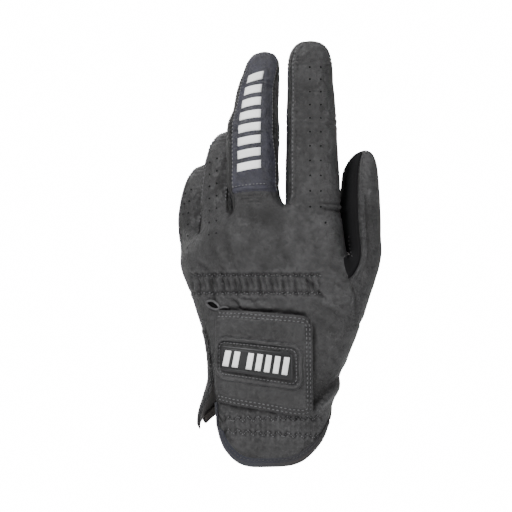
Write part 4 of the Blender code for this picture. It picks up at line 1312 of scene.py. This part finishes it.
# the stitched crotch between the middle and index fingers, and the ends of the other webs
on_skin(bowed(7.0, 139.0, 12.6, 146.0, -3.0), 1.9, 1.1, 0.22, THREAD_DARK)
on_skin(bowed(-36.0, 133.0, -33.0, 125.0, 1.2), 1.9, 1.1, 0.22, THREAD_DARK)
on_skin(bowed(-15.8, 139.9, 4.2, 143.4, 0.4), 1.9, 1.15, 0.22, THREAD_DARK)

# thumb: a double row beside the welt, and the round seam of its base
for off, mat in ((-0.20, THREAD), (-0.48, THREAD)):
    p, n = seam_line(thumb_skin, 8.0 + off, 1.1, 8.3)
    sew(builds["thumb_outer"], p, n, 2.1, 1.25, 0.22, mat)
p, n = seam_line(thumb_skin, 1.28, 1.1, 8.3)
sew(builds["thumb_outer"], p, n, 2.1, 1.25, 0.22, THREAD_DARK)
on_skin(bowed(45.3, 101.0, 45.6, 70.5, 3.4, 60), 2.3, 1.25, 0.22, THREAD_DARK)
on_skin(bowed(42.0, 118.0, 43.8, 106.5, -0.6), 2.0, 1.1, 0.2, THREAD_DARK)

# gathers: two rows of small stitches along wavy lines
for row, phase in ((GATHER_LO, 0.0), (GATHER_LO + 1.4, 0.5), (GATHER_HI, 0.0), (GATHER_HI - 1.4, 0.5)):
    x = np.linspace(GATHER_LEFT + 1, GATHER_RIGHT, 260)
    line = np.stack([x, gather_row(x, row, phase)], axis=1)
    colour = THREAD_DARK if phase else THREAD
    on_skin(line, 1.75, 1.1, 0.24, colour, turn=35.0, start=0.5 + phase)
# the cuff's zigzag rows
for row in CUFF_ROWS:
    x = np.linspace(-21.0, 27.5, 400)
    on_skin(np.stack([x, cuff_row(x, row)], axis=1), 1.3, 1.0, 0.26, THREAD)


# ---- the navy finger's print: plain slanted bars -------------------------------------------------


SOFT_EDGE = 0.22


def decal(build, surface, corners, lo, hi, mat, rows=7, cols=9):
    """A thin raised print with soft edges over a four-cornered patch of net coordinates."""
    s, t = np.meshgrid(np.linspace(0, 1, cols), np.linspace(0, 1, rows))
    a, b, c, d = [np.array(k, float) for k in corners]
    g = (a * (1 - s[..., None]) + b * s[..., None]) * (1 - t[..., None])
    g = g + (d * (1 - s[..., None]) + c * s[..., None]) * t[..., None]
    p, n = surface(g[..., 0], g[..., 1])
    edge = np.minimum(np.minimum(s, 1 - s) * cols, np.minimum(t, 1 - t) * rows)
    top = lo + (hi - lo) * (1 - SOFT_EDGE + SOFT_EDGE * smooth(edge / 1.2))
    slab(build, p, n, lo, top, mat)


middle = finger["middle"]


def middle_row(z):
    """The net row of the middle finger at this height."""
    v = np.linspace(1.0, 11.5, 400)
    return float(np.interp(z, middle.at(np.full(400, 1.0), v)[0][:, 2], v))


MARKS = 8
MARK_TOP, MARK_FOOT = 203.0, 149.6
MARK_FILL = 0.74        # how much of its pitch each bar fills
MARK_SLANT = 0.8        # rise of a bar from its middle to its end
MARK_MID = 0.98         # net column of the bars' middle
pitch = (MARK_TOP - MARK_FOOT) / MARKS
for k in range(MARKS):
    high_z = MARK_TOP - pitch * k - 0.2
    low_z = high_z + 0.2 - pitch * MARK_FILL + 0.6
    wide = 0.46 + 0.02 * k
    left_lo, right_lo, left_hi, right_hi = (
        middle_row(z + slant) for z in (low_z, high_z) for slant in (-MARK_SLANT, MARK_SLANT))
    start, end = MARK_MID - wide, MARK_MID + wide
    corners = ((start, left_lo), (end, right_lo), (end, right_hi), (start, left_hi))
    decal(builds["middle_back"], middle.at, corners, -0.15, 0.30, WHITE)
# the navy leather's hem: a turned edge with a row of stitches just above it
t = np.linspace(0.06, 1.94, 60)
hem_v = 1.03 + 0.06 * t
band_v = np.stack([hem_v + d for d in np.linspace(0.0, 0.26, 6)])
band_u = np.stack([t] * 6)
p, n = middle.at(band_u, band_v)
roll = np.sqrt(np.clip(1 - (np.linspace(-1, 1, 6) ** 2), 0, 1))[:, None]
slab(builds["middle_back"], p, n, -0.1, 0.12 + 0.38 * roll, 0, tone=0.10)
p, n = middle.at(t, hem_v + 0.34)
sew(builds["middle_back"], p, n, 1.9, 1.2, 0.22, THREAD)


# ---- the slit, its hem, the keyhole and the bindings --------------------------------------------
HEM_IN, HEM_OUT, HEM_TOP, HEM_FOOT = 19.36, 19.84, 4.75, 10.6
vv, uu = np.meshgrid(np.linspace(HEM_TOP, HEM_FOOT, 150), np.linspace(HEM_IN, HEM_OUT, 14))
p, n = hand.at(uu, vv)
edge = np.minimum(uu - HEM_IN, HEM_OUT - uu) / 0.09
edge = smooth(np.minimum(edge, np.minimum(vv - HEM_TOP, HEM_FOOT - vv) / 0.12))
slit_hem = Build()
# the hem's colour darkens towards its edges: painted shade
slab(slit_hem, p, n, 0.05, 0.25 + 0.65 * edge, 0, tone=0.05 - 0.3 * (1 - edge))
hem_v = np.linspace(HEM_TOP + 0.1, HEM_FOOT - 0.1, 120)
p, n = hand.at(np.full(120, HEM_IN + 0.1), hem_v)
p = p + n * 0.74
sew(slit_hem, p, n, 2.2, 1.3, 0.22, THREAD_DARK)

# the keyhole: a loop of rolled leather and its tail, both lighter with a painted highlight, and the dark
# hole inside, a disc of painted shade
ang = np.linspace(0, 2 * math.pi, 72, endpoint=False)
KEY_X, KEY_Z, KEY_LONG, KEY_WIDE = -28.2, 81.6, 3.5, 1.75
tilt = math.radians(-28)
lx = KEY_LONG * np.cos(ang)
lz = KEY_WIDE * np.sin(ang)
xs = KEY_X + lx * math.cos(tilt) - lz * math.sin(tilt)
zs = KEY_Z + lx * math.sin(tilt) + lz * math.cos(tilt)


def near_slit(x, z):
    return hand.at(*hand.find(x, z, (0.2, 4.0)))


def tube(build, path, normal, radius, mat, closed=False, sides=10, tone=0.0, lump=0.0):
    """A round cord along a line on the surface."""
    if closed:
        t = np.roll(path, -1, axis=0) - np.roll(path, 1, axis=0)
    else:
        t = np.gradient(path, axis=0)
    t = units(t)
    side = units(np.cross(t, normal))
    up = np.cross(side, t)
    radius = np.broadcast_to(np.asarray(radius, float), (len(path),))
    q = np.linspace(0, 2 * math.pi, sides, endpoint=False)
    bumps = 1 + lump * np.sin(np.arange(len(path)) * 1.9)
    ring = [path + (side * math.cos(a) + up * math.sin(a)) * (radius * bumps)[:, None] for a in q]
    grid = np.stack(ring, axis=1)
    faces = grid_faces(len(path), sides, wrap=True, closed=closed)
    build.add(grid.reshape(-1, 3), faces[:, ::-1], mat, tone=tone)
    if not closed:
        end = np.arange(sides)
        build.more([end, (len(path) - 1) * sides + end[::-1]], mat)


keyhole = Build()
p, n = near_slit(xs, zs)
tube(keyhole, p + n * 0.6, n, 0.60, 0, closed=True, tone=0.10, lump=0.05)
rings = []
for r in np.linspace(0.05, 0.92, 6):
    p, n = near_slit(KEY_X + r * (xs - KEY_X), KEY_Z + r * (zs - KEY_Z))
    rings.append(p + n * 0.22)
disc = np.stack(rings)
faces = grid_faces(6, len(ang), wrap=True)
keyhole.add(disc.reshape(-1, 3), faces, 1)
keyhole.add(disc[0], np.arange(len(ang))[None, ::-1], 1)
tail = bowed(-24.9, 80.2, -20.2, 80.6, 0.5, 24)
p, n = near_slit(tail[:, 0], tail[:, 1])
tube(keyhole, p + n * 0.5, n, 0.62 * np.sqrt(np.clip(np.linspace(1.0, 0.2, 24), 0, 1)), 0, tone=0.1)


TAPE_ROWS = 10
TAPE_GAP = 0.10
DARK_FROM = 1.5         # distance from the edge where the darker run starts
TAPE_SEAM = 2.75        # distance from the edge to the stitches
LAST_ROW = 10.999


def bind(us, vs):
    """A tape folded over the panel's edge, in two coloured runs, with a row of stitches."""
    build = Build()
    us = np.array(us, float)
    vs = np.array(vs, float)
    step = 0.02
    p0, n0 = hand.at(us, vs)
    into = units(np.cross(n0, units(np.gradient(p0, axis=0))))
    pu = (hand.at(us + step, vs)[0] - p0) / step
    pv = (p0 - hand.at(us, vs - step)[0]) / step
    pairs = ((pu, pu), (pu, pv), (pv, pv), (pu, into), (pv, into))
    a, b, c, e, f = (np.einsum("ij,ij->i", x, y) for x, y in pairs)
    du = (e * c - b * f) / (a * c - b * b)
    dv = (a * f - b * e) / (a * c - b * b)

    def inward(d):
        return hand.at(us + du * d, np.minimum(vs + dv * d, LAST_ROW))

    legs = [(*inward(d), d) for d in np.linspace(0.05, BINDING_WIDTH, TAPE_ROWS)]
    outer = []
    heights = []
    for p, n, d in reversed(legs):
        edge = min(1.0, (BINDING_WIDTH - d) / 0.5 + 0.25)
        rib = 0.16 * math.cos(2 * math.pi * (d - 1.45) / 3.0)
        outer.append(p + n * (TAPE_GAP + BINDING_THICK * edge + rib))
        heights.append(d)
    p, n = legs[0][:2]
    half = 0.5 * (LEATHER + 2 * TAPE_GAP + 2 * BINDING_THICK)
    for q in np.linspace(0.15, 0.85, 5) * math.pi:
        out = TAPE_GAP + 0.9 * BINDING_THICK * math.sin(q) + 0.25 * half * math.sin(q)
        outer.append(p - into * out + n * (-0.5 * LEATHER + half * math.cos(q)))
    outer += [p - n * (LEATHER + TAPE_GAP + BINDING_THICK) for p, n, d in legs]
    inner = [p - n * (LEATHER + TAPE_GAP) for p, n, d in reversed(legs)]
    inner += [p + n * TAPE_GAP for p, n, d in legs]
    grid = np.stack(outer + inner, axis=1)
    m = grid.shape[1]
    k = len(outer)
    run = np.zeros(m, int)
    run[:TAPE_ROWS] = np.array(heights) > DARK_FROM
    mats = np.tile(run, len(us) - 1)
    verts = grid.reshape(-1, 3)
    face = facing_out(verts, grid_faces(len(us), m, wrap=True))
    build.add(verts, face[mats == 0], 0)
    build.more(face[mats == 1], 1)
    # the ends, closed with quads between the outer and inner runs
    cap = []
    for base in (0, (len(us) - 1) * m):
        for j in range(k - 1):
            i0, i1 = (min(k + round((2 * TAPE_ROWS - 1) * (1 - x / (k - 1))), m - 1) for x in (j, j + 1))
            ids = [base + j, base + j + 1, base + i1, base + i0]
            if len(set(ids)) == 4:
                cap.append(ids if base else ids[::-1])
    build.more(cap, 0)
    p, n = inward(TAPE_SEAM)
    sew(build, p + n * (TAPE_GAP + BINDING_THICK - 0.08), n, 2.0, 1.2, 0.21, 2)
    return build


# the cuff's tape comes down the slit and turns the corner
slit_v = list(np.linspace(9.05, 10.35, 30))
turn = [(0.01, 10.5), (0.03, 10.62), (0.09, 10.74), (0.16, 10.83), (0.25, 10.90), (0.36, 10.94)]
us = [0.0] * 30 + [a for a, b in turn] + list(np.linspace(0.50, 8.9, 150))
vs = slit_v + [b for a, b in turn] + [10.99] * 150
cuff_binding = bind(us, vs)
palm_binding = bind(np.linspace(9.12, 19.1, 170), [10.99] * 170)


# ---- the closure tab, its fastener and badge ----------------------------------------------------
def rounded_grid(bottom, top, left, right, r_left, r_right, rows, cols):
    """Places filling a plate with rounded corners, with the distance of each from its edge."""
    mid = 0.5 * (left + right)
    height = float(top(mid) - bottom(mid))
    # steps are finer towards the edges
    t, s = (0.35 * (0.5 - 0.5 * np.cos(np.linspace(0, math.pi, count))) + 0.65 * np.linspace(0, 1, count)
            for count in (rows, cols))
    xs = np.zeros((rows, cols))
    zs = np.zeros((rows, cols))
    for i in range(rows):
        d = min(t[i], 1 - t[i]) * height
        cut_l, cut_r = (r - math.sqrt(max(r ** 2 - max(r - d, 0) ** 2, 0)) for r in (r_left, r_right))
        x = left + cut_l + (right - cut_r - left - cut_l) * s
        xs[i] = x
        zs[i] = bottom(x) + (top(x) - bottom(x)) * t[i]
    dz = np.minimum(top(xs) - zs, zs - bottom(xs))
    away = np.full(xs.shape, np.inf)
    for r, dx in ((r_left, xs - left), (r_right, right - xs)):
        corner = (dx < r) & (dz < r)
        away = np.minimum(away, np.where(corner, r - np.hypot(r - dx, r - dz), np.minimum(dx, dz)))
    return xs, zs, np.maximum(away, 0)


LOOP_LO = 0.3
LOOP_HI = LOOP_LO + LOOP_THICK
HOOK_LO = LOOP_HI + GAP
HOOK_HI = HOOK_LO + HOOK_THICK
TAB_LO = HOOK_HI + GAP
TAB_HI = TAB_LO + TAB_LEATHER
base_fine = refine(cage, 2)
smooth_hand = Surface(base_fine, 0, 20, 11, 2)


def stretched(x, z):
    """Places on the smooth hand under its creases, and their normals."""
    return smooth_hand.at(*smooth_hand.find(x, z, (3.0, 7.0)))


TAB_SEWN = TAB_LEFT + 1.2
TAB_SEAMS = (1.6, 3.4)      # how far in from the edge the two rows of stitches run


def tab_margin(x, z):
    """Distance to the nearest free edge of the tab."""
    return np.minimum(np.minimum(tab_top(x) - z, z - tab_bottom(x)), TAB_RIGHT - x)


def tab_dip(margin):
    """How far the tab comes down to the hand near its free edges."""
    return (TAB_LO - 0.75) * (1 - smooth(margin / 5.5))


def flat_noise(xs, zs, scale, seed):
    values = [noise.noise(Vector((x / scale, z / scale, seed))) for x, z in zip(xs.ravel(), zs.ravel())]
    return np.array(values).reshape(xs.shape)


tab = Build()
xs, zs, away = rounded_grid(tab_bottom, tab_top, TAB_SEWN, TAB_RIGHT, 0.8, TAB_CORNER, 96, 150)
p, n = stretched(xs, zs)
lo_edge = tab_margin(xs, zs)
down = tab_dip(lo_edge)
wob = flat_noise(xs, zs, 11.0, 4.2)
sewn = sum(0.16 * bell(lo_edge - inset, 0.45) for inset in TAB_SEAMS)
puff = 0.10 * bell(lo_edge - 2.5, 0.6) + 0.14 * bell(lo_edge - 4.6, 0.9)
puff = puff + 0.10 * bell(lo_edge - 0.75, 0.5)
hi = TAB_HI - down - sewn + puff + 0.22 * wob + 0.07 * flat_noise(xs, zs, 4.0, 9.2)
hi = hi - 0.55 * (1 - smooth(away / 0.9))
lo = TAB_LO - down + 0.25 * (1 - smooth(away / 0.7))
# painted highlight along the tab's raised rim and painted shade along its two rows of stitches, with
# random changes of shade
shade = 0.10 * bell(lo_edge - 0.6, 0.5) + 0.10 * wob
shade -= sum(0.30 * bell(lo_edge - inset, 0.4) for inset in TAB_SEAMS)
slab(tab, p, n, lo, hi, 0, tone=shade)


def tab_line(inset):
    """The line of stitches at this inset: along the top, round the corners, along the bottom."""
    radius = TAB_CORNER - inset
    cx = TAB_RIGHT - inset - radius
    along = np.linspace(TAB_SEWN + 0.8, cx, 60)
    out = [(x, tab_top(x) - inset) for x in along]
    for a in np.radians(np.linspace(90, 0, 14)[1:]):
        x = cx + radius * math.cos(a)
        out.append((x, tab_top(x) - inset - radius + radius * math.sin(a)))
    lo_z = tab_bottom(TAB_RIGHT) + inset + radius
    out += [(TAB_RIGHT - inset, z) for z in np.linspace(out[-1][1], lo_z, 40)[1:]]
    for a in np.radians(np.linspace(0, -90, 14)[1:]):
        x = cx + radius * math.cos(a)
        out.append((x, tab_bottom(x) + inset + radius + radius * math.sin(a)))
    out += [(x, tab_bottom(x) + inset) for x in along[-2::-1]]
    return np.array(out).T


for inset in TAB_SEAMS:
    x, z = tab_line(inset)
    p, n = stretched(x, z)
    sew(tab, p + n * (TAB_HI - tab_dip(tab_margin(x, z)) - 0.10)[:, None], n, 2.3, 1.5, 0.26, 1)

BADGE_LEFT, BADGE_RIGHT = -22.2, 12.6
BADGE_LO = TAB_HI + GAP


def badge_top(x):
    return 60.3 - 3.2 * (x + 22.0) / 35.0


def badge_bottom(x):
    return 47.2 - 4.6 * (x + 22.0) / 35.0


badge = Build()
xs, zs, away = rounded_grid(badge_bottom, badge_top, BADGE_LEFT, BADGE_RIGHT, 1.8, 1.8, 40, 90)
p, n = stretched(xs, zs)
hi = BADGE_LO + BADGE_THICK - 0.5 * (1 - smooth(away / 0.8)) - 0.10 * bell(away - 1.5, 0.3)
slab(badge, p, n, BADGE_LO - 0.15, hi, 0)


# plain slanted bars that follow the badge's slope, with one wider gap
BARS = 7
BAR_LEFT, BAR_RIGHT = -21.0, 11.2
BAR_FILL, BAR_LEAN, BAR_MARGIN = 0.62, 1.6, 2.6
WIDER_GAP, GAP_AFTER = 2.2, 1
pitch = (BAR_RIGHT - BAR_LEFT - WIDER_GAP) / BARS
for k in range(BARS):
    x0 = BAR_LEFT + pitch * k + WIDER_GAP * (k > GAP_AFTER)
    x1 = x0 + pitch * BAR_FILL
    z0 = badge_bottom(0.5 * (x0 + x1)) + BAR_MARGIN
    z1 = badge_top(0.5 * (x0 + x1)) - BAR_MARGIN
    corners = ((x0, z0), (x1, z0 - 0.3), (x1 + BAR_LEAN, z1 - 0.3), (x0 + BAR_LEAN, z1))
    decal(badge, stretched, corners, BADGE_LO + BADGE_THICK - 0.25, BADGE_LO + BADGE_THICK + 0.32, 2)


def frame_line(grow, radius, per_corner=10):
    """A closed line round the badge at this distance outside it."""
    out = []
    left, right = BADGE_LEFT - 0.58 * grow + radius, BADGE_RIGHT + grow - radius
    for cx, up, turned in ((right, 1, 90), (right, -1, 0), (left, -1, -90), (left, 1, -180)):
        for k in range(per_corner + 1):
            q = math.radians(turned - 90 * k / per_corner)
            x = cx + radius * math.cos(q)
            z = (badge_top(x) if up > 0 else badge_bottom(x)) + up * (grow - radius)
            out.append((x, z + radius * math.sin(q)))
    out = np.array(out)
    out = np.concatenate([out, out[:1]])
    return pick(out, resample(upright(out), 0.6, 0.0))


welt = Build()
line = frame_line(3.5, 4.6)
p, n = stretched(line[:, 0], line[:, 1])
t = units(np.roll(p, -1, axis=0) - np.roll(p, 1, axis=0))
side = units(np.cross(t, n))
section = [(-1.35, -0.35), (-1.15, 0.15), (-0.65, 0.55), (0.0, 0.72), (0.65, 0.55), (1.15, 0.15),
           (1.35, -0.35), (0.0, -0.38)]
grid = np.stack([p + side * a + n * (BADGE_LO - 0.10 + b) for a, b in section], axis=1).reshape(-1, 3)
welt.add(grid, facing_out(grid, grid_faces(len(p), len(section), wrap=True, closed=True)), 0, tone=0.12)
line = frame_line(1.55, 3.0)
p, n = stretched(line[:, 0], line[:, 1])
sew(welt, p + n * (TAB_HI + 0.12), n, 1.9, 1.25, 0.22, 1)

# hook and loop: a looped nap on the back of the hand, rows of fine hooks under the tab
PAD_DEPTH, HOOK_DEPTH, HOOK_PITCH = 0.80, 0.62, 1.15


def pad(left, right, bottom, top):
    """Places, normals, the height of the nap and the fall of the edge of one patch."""
    low_edge, high_edge = (lambda x: bottom + 0 * x), (lambda x: top + 0 * x)
    xs, zs, away = rounded_grid(low_edge, high_edge, left, right, 3, 3, 70, 64)
    nap = np.sin(xs * 4.4) * np.sin(zs * 4.4 + 0.6 * np.sin(xs * 2.1)) * smooth(away)
    return *stretched(xs, zs), nap, 1 - 0.5 * (1 - smooth(away / 0.8))


loop_patch = Build()
p, n, nap, fall = pad(-13.0, 18.5, 33.0, 71.0)
slab(loop_patch, p, n, LOOP_LO, LOOP_LO + PAD_DEPTH * fall + 0.10 * nap, 0)
hook_patch = Build()
p, n, nap, fall = pad(-6.0, 17.5, 34.0, 70.0)
slab(hook_patch, p, n, HOOK_HI - HOOK_DEPTH * fall - 0.05 * nap, HOOK_HI, 0)
hx, hz = np.meshgrid(np.arange(-4.0, 15.9, HOOK_PITCH), np.arange(36.0, 68.4, HOOK_PITCH))
hx = hx + 0.28 * ((np.arange(len(hx)) % 2) * 2 - 1)[:, None]
p, n = stretched(hx.ravel(), hz.ravel())
hooks = p + n * (HOOK_HI - HOOK_DEPTH - 0.04)
stitches(hook_patch, hooks, np.tile([1.0, 0.0, 0.25], (len(p), 1)), n, 0.62, 0.13, 0)


# elastic bands inside, ribbed and gathered
BAND_ROWS = 9


def band(u0, u1, z, wide, cols):
    us = np.linspace(u0, u1, cols)
    places = []
    for k in range(BAND_ROWS):
        want = z - 0.5 * wide + wide * k / (BAND_ROWS - 1)
        v = np.full(cols, 4.0)
        for _ in range(60):
            here = smooth_hand.at(us, v)[0][:, 2]
            slope = (smooth_hand.at(us, v + 0.05)[0][:, 2] - here) / 0.05
            v = np.clip(v + (want - here) / slope * 0.6, 0, 10.95)
        places.append(smooth_hand.at(us, v))
    p, n = (np.stack(part) for part in zip(*places))
    rib = 0.10 * np.cos(np.linspace(0, 4 * math.pi, BAND_ROWS))[:, None]
    rib = rib + 0.10 * np.cos(np.arange(cols) * 1.3)[None]
    top = -(LEATHER + GAP + 0.35)
    build = Build()
    slab(build, p, n, top - 0.55 + 0.8 * rib, top, 0)
    return build


for piece, build in builds.items():
    stem = piece.removesuffix("_end")
    if stem in SLOT_OF:
        slot_name, skin = SLOT_OF[stem], SKIN_OF[stem]
    elif "_side_to_" in stem or stem.startswith("web_"):
        slot_name, skin = "side_leather", "side"
    elif stem.endswith("_palm") or stem == "palm_panel":
        slot_name, skin = "palm_leather", "leather"
    else:
        slot_name, skin = "back_leather", "leather"
    mats = [M[key] for key in (skin, "thread", "thread_dark", "hole", "lining", "white")]
    ob = build.make(piece + "_leather", mats, slot_name)
    who = owner(piece)
    if who == "hand":
        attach(ob, "hand")
    elif piece != stem:
        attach(ob, BODY[who])
    elif who == "thumb":
        (x0, y0, z0), (x1, y1, z1) = THUMB[0][:3], THUMB[1][:3]
        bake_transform(ob)
    else:
        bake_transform(ob)
    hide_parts(stem)
    if stem.endswith("_back") and piece == stem:
        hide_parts(who + "_knuckle_bend")
    if stem == "thumb_outer":
        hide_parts("thumb_bend")

DETAILS = [
    ("slit_hem", slit_hem, "leather thread thread_dark", "back_leather", "hand"),
    ("keyhole_piping", keyhole, "piping hole", "piping", "hand"),
    ("cuff_binding", cuff_binding, "tape navy_tape thread_dark", "binding_tape", "hand"),
    ("palm_binding", palm_binding, "brown_tape brown_tape thread_dark", "binding_tape", "hand"),
    ("closure_tab", tab, "tab thread", "tab_leather", "closure"),
    ("badge_plate", badge, "rubber thread white", "badge_rubber", "closure"),
    ("badge_welt", welt, "tab thread", "tab_leather", "closure"),
    ("loop_patch", loop_patch, "hook", "hook_and_loop", "hand"),
    ("tab_hook_patch", hook_patch, "hook", "hook_and_loop", "closure"),
    ("back_elastic", band(-0.4, 7.7, 92.5, 10.0, 170), "elastic", "elastic", "hand"),
    ("cuff_elastic_upper", band(0.45, 8.0, 27.5, 4.0, 150), "elastic", "elastic", "hand"),
    ("cuff_elastic_lower", band(1.0, 7.2, 14.5, 4.0, 130), "elastic", "elastic", "hand"),
]
for name, build, keys, slot_name, body in DETAILS:
    ob = build.make(name + "_detail", [M[key] for key in keys.split()], slot_name)
    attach(ob, body)
    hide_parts(name)

# ---- stage, light and camera --------------------------------------------------------------------
low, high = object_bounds()
centre = (Vector(low) + Vector(high)) / 2


def pale(name, shade, rough):
    """An even pale floor with a faint slow change of shade."""
    t = Nodes(name)
    n = t.noise(2.0, 3.0)
    base = t.ramp(n, [(0.3, (shade * 0.985,) * 3), (0.7, (shade,) * 3)])
    return t.done(base, t.range(n, 0.3, 0.7, rough, rough + 0.05))


FLOOR_HALF, FLOOR_DROP = 2.2, 0.16
floor_z = low[2] - FLOOR_DROP
verts = [(x, y, floor_z) for y in (-FLOOR_HALF, FLOOR_HALF) for x in (-FLOOR_HALF, FLOOR_HALF)]
mesh = bpy.data.meshes.new("sweep")
mesh.from_pydata(verts, [], [(0, 1, 3, 2)])
mesh.polygons.foreach_set("use_smooth", [True])
mesh.materials.append(pale("pale_floor", 0.92, 0.8))
floor = bpy.data.objects.new("studio_floor", mesh)
bpy.context.scene.collection.objects.link(floor)


def softbox(name, place, size, power):
    """A soft area light aimed at the middle of the glove."""
    light = bpy.data.lights.new(name, "AREA")
    light.shape = "RECTANGLE"
    light.size, light.size_y = size
    light.energy = power
    ob = bpy.data.objects.new(name, light)
    ob.location = place
    ob.rotation_mode = "QUATERNION"
    ob.rotation_quaternion = (centre - Vector(place)).to_track_quat("-Z", "Y")
    bpy.context.scene.collection.objects.link(ob)


softbox("key", (-0.75, -0.8, 1.25), (0.4, 0.4), 33.0)
softbox("fill", (1.1, -1.1, 0.4), (0.6, 0.9), 12.0)
softbox("top", (0.1, 0.3, 1.4), (0.9, 0.6), 8.0)
softbox("back", (-0.6, 1.4, 0.8), (0.9, 0.9), 5.0)

# the sky lights the glove softly, and shows as a white background
SKY_LIGHT = 0.30
SKY_SEEN = 16.0
world = bpy.data.worlds.new("studio")
bpy.context.scene.world = world
world.use_nodes = True
sky = world.node_tree.nodes["Background"]
sky.inputs["Color"].default_value = (1.0, 1.0, 1.0, 1.0)
path = world.node_tree.nodes.new("ShaderNodeLightPath")
seen = world.node_tree.nodes.new("ShaderNodeMapRange")
seen.inputs["To Min"].default_value = SKY_LIGHT
seen.inputs["To Max"].default_value = SKY_SEEN
world.node_tree.links.new(path.outputs["Is Camera Ray"], seen.inputs["Value"])
world.node_tree.links.new(seen.outputs["Result"], sky.inputs["Strength"])

# a long lens far away, level with the middle of the glove
cam = bpy.data.cameras.new("camera")
cam.lens = 405.0
cam.sensor_width = 36.0
cam.clip_end = 50.0
view = bpy.data.objects.new("camera", cam)
CAMERA_AWAY = 3.0
CAMERA_X = -6.24 - ORIGIN[0]
CAMERA_Z = 107.12 - ORIGIN[2]
view.location = (CAMERA_X * MM, -CAMERA_AWAY, CAMERA_Z * MM)
view.rotation_euler = (math.radians(90), 0.0, 0.0)
bpy.context.scene.collection.objects.link(view)
bpy.context.scene.camera = view
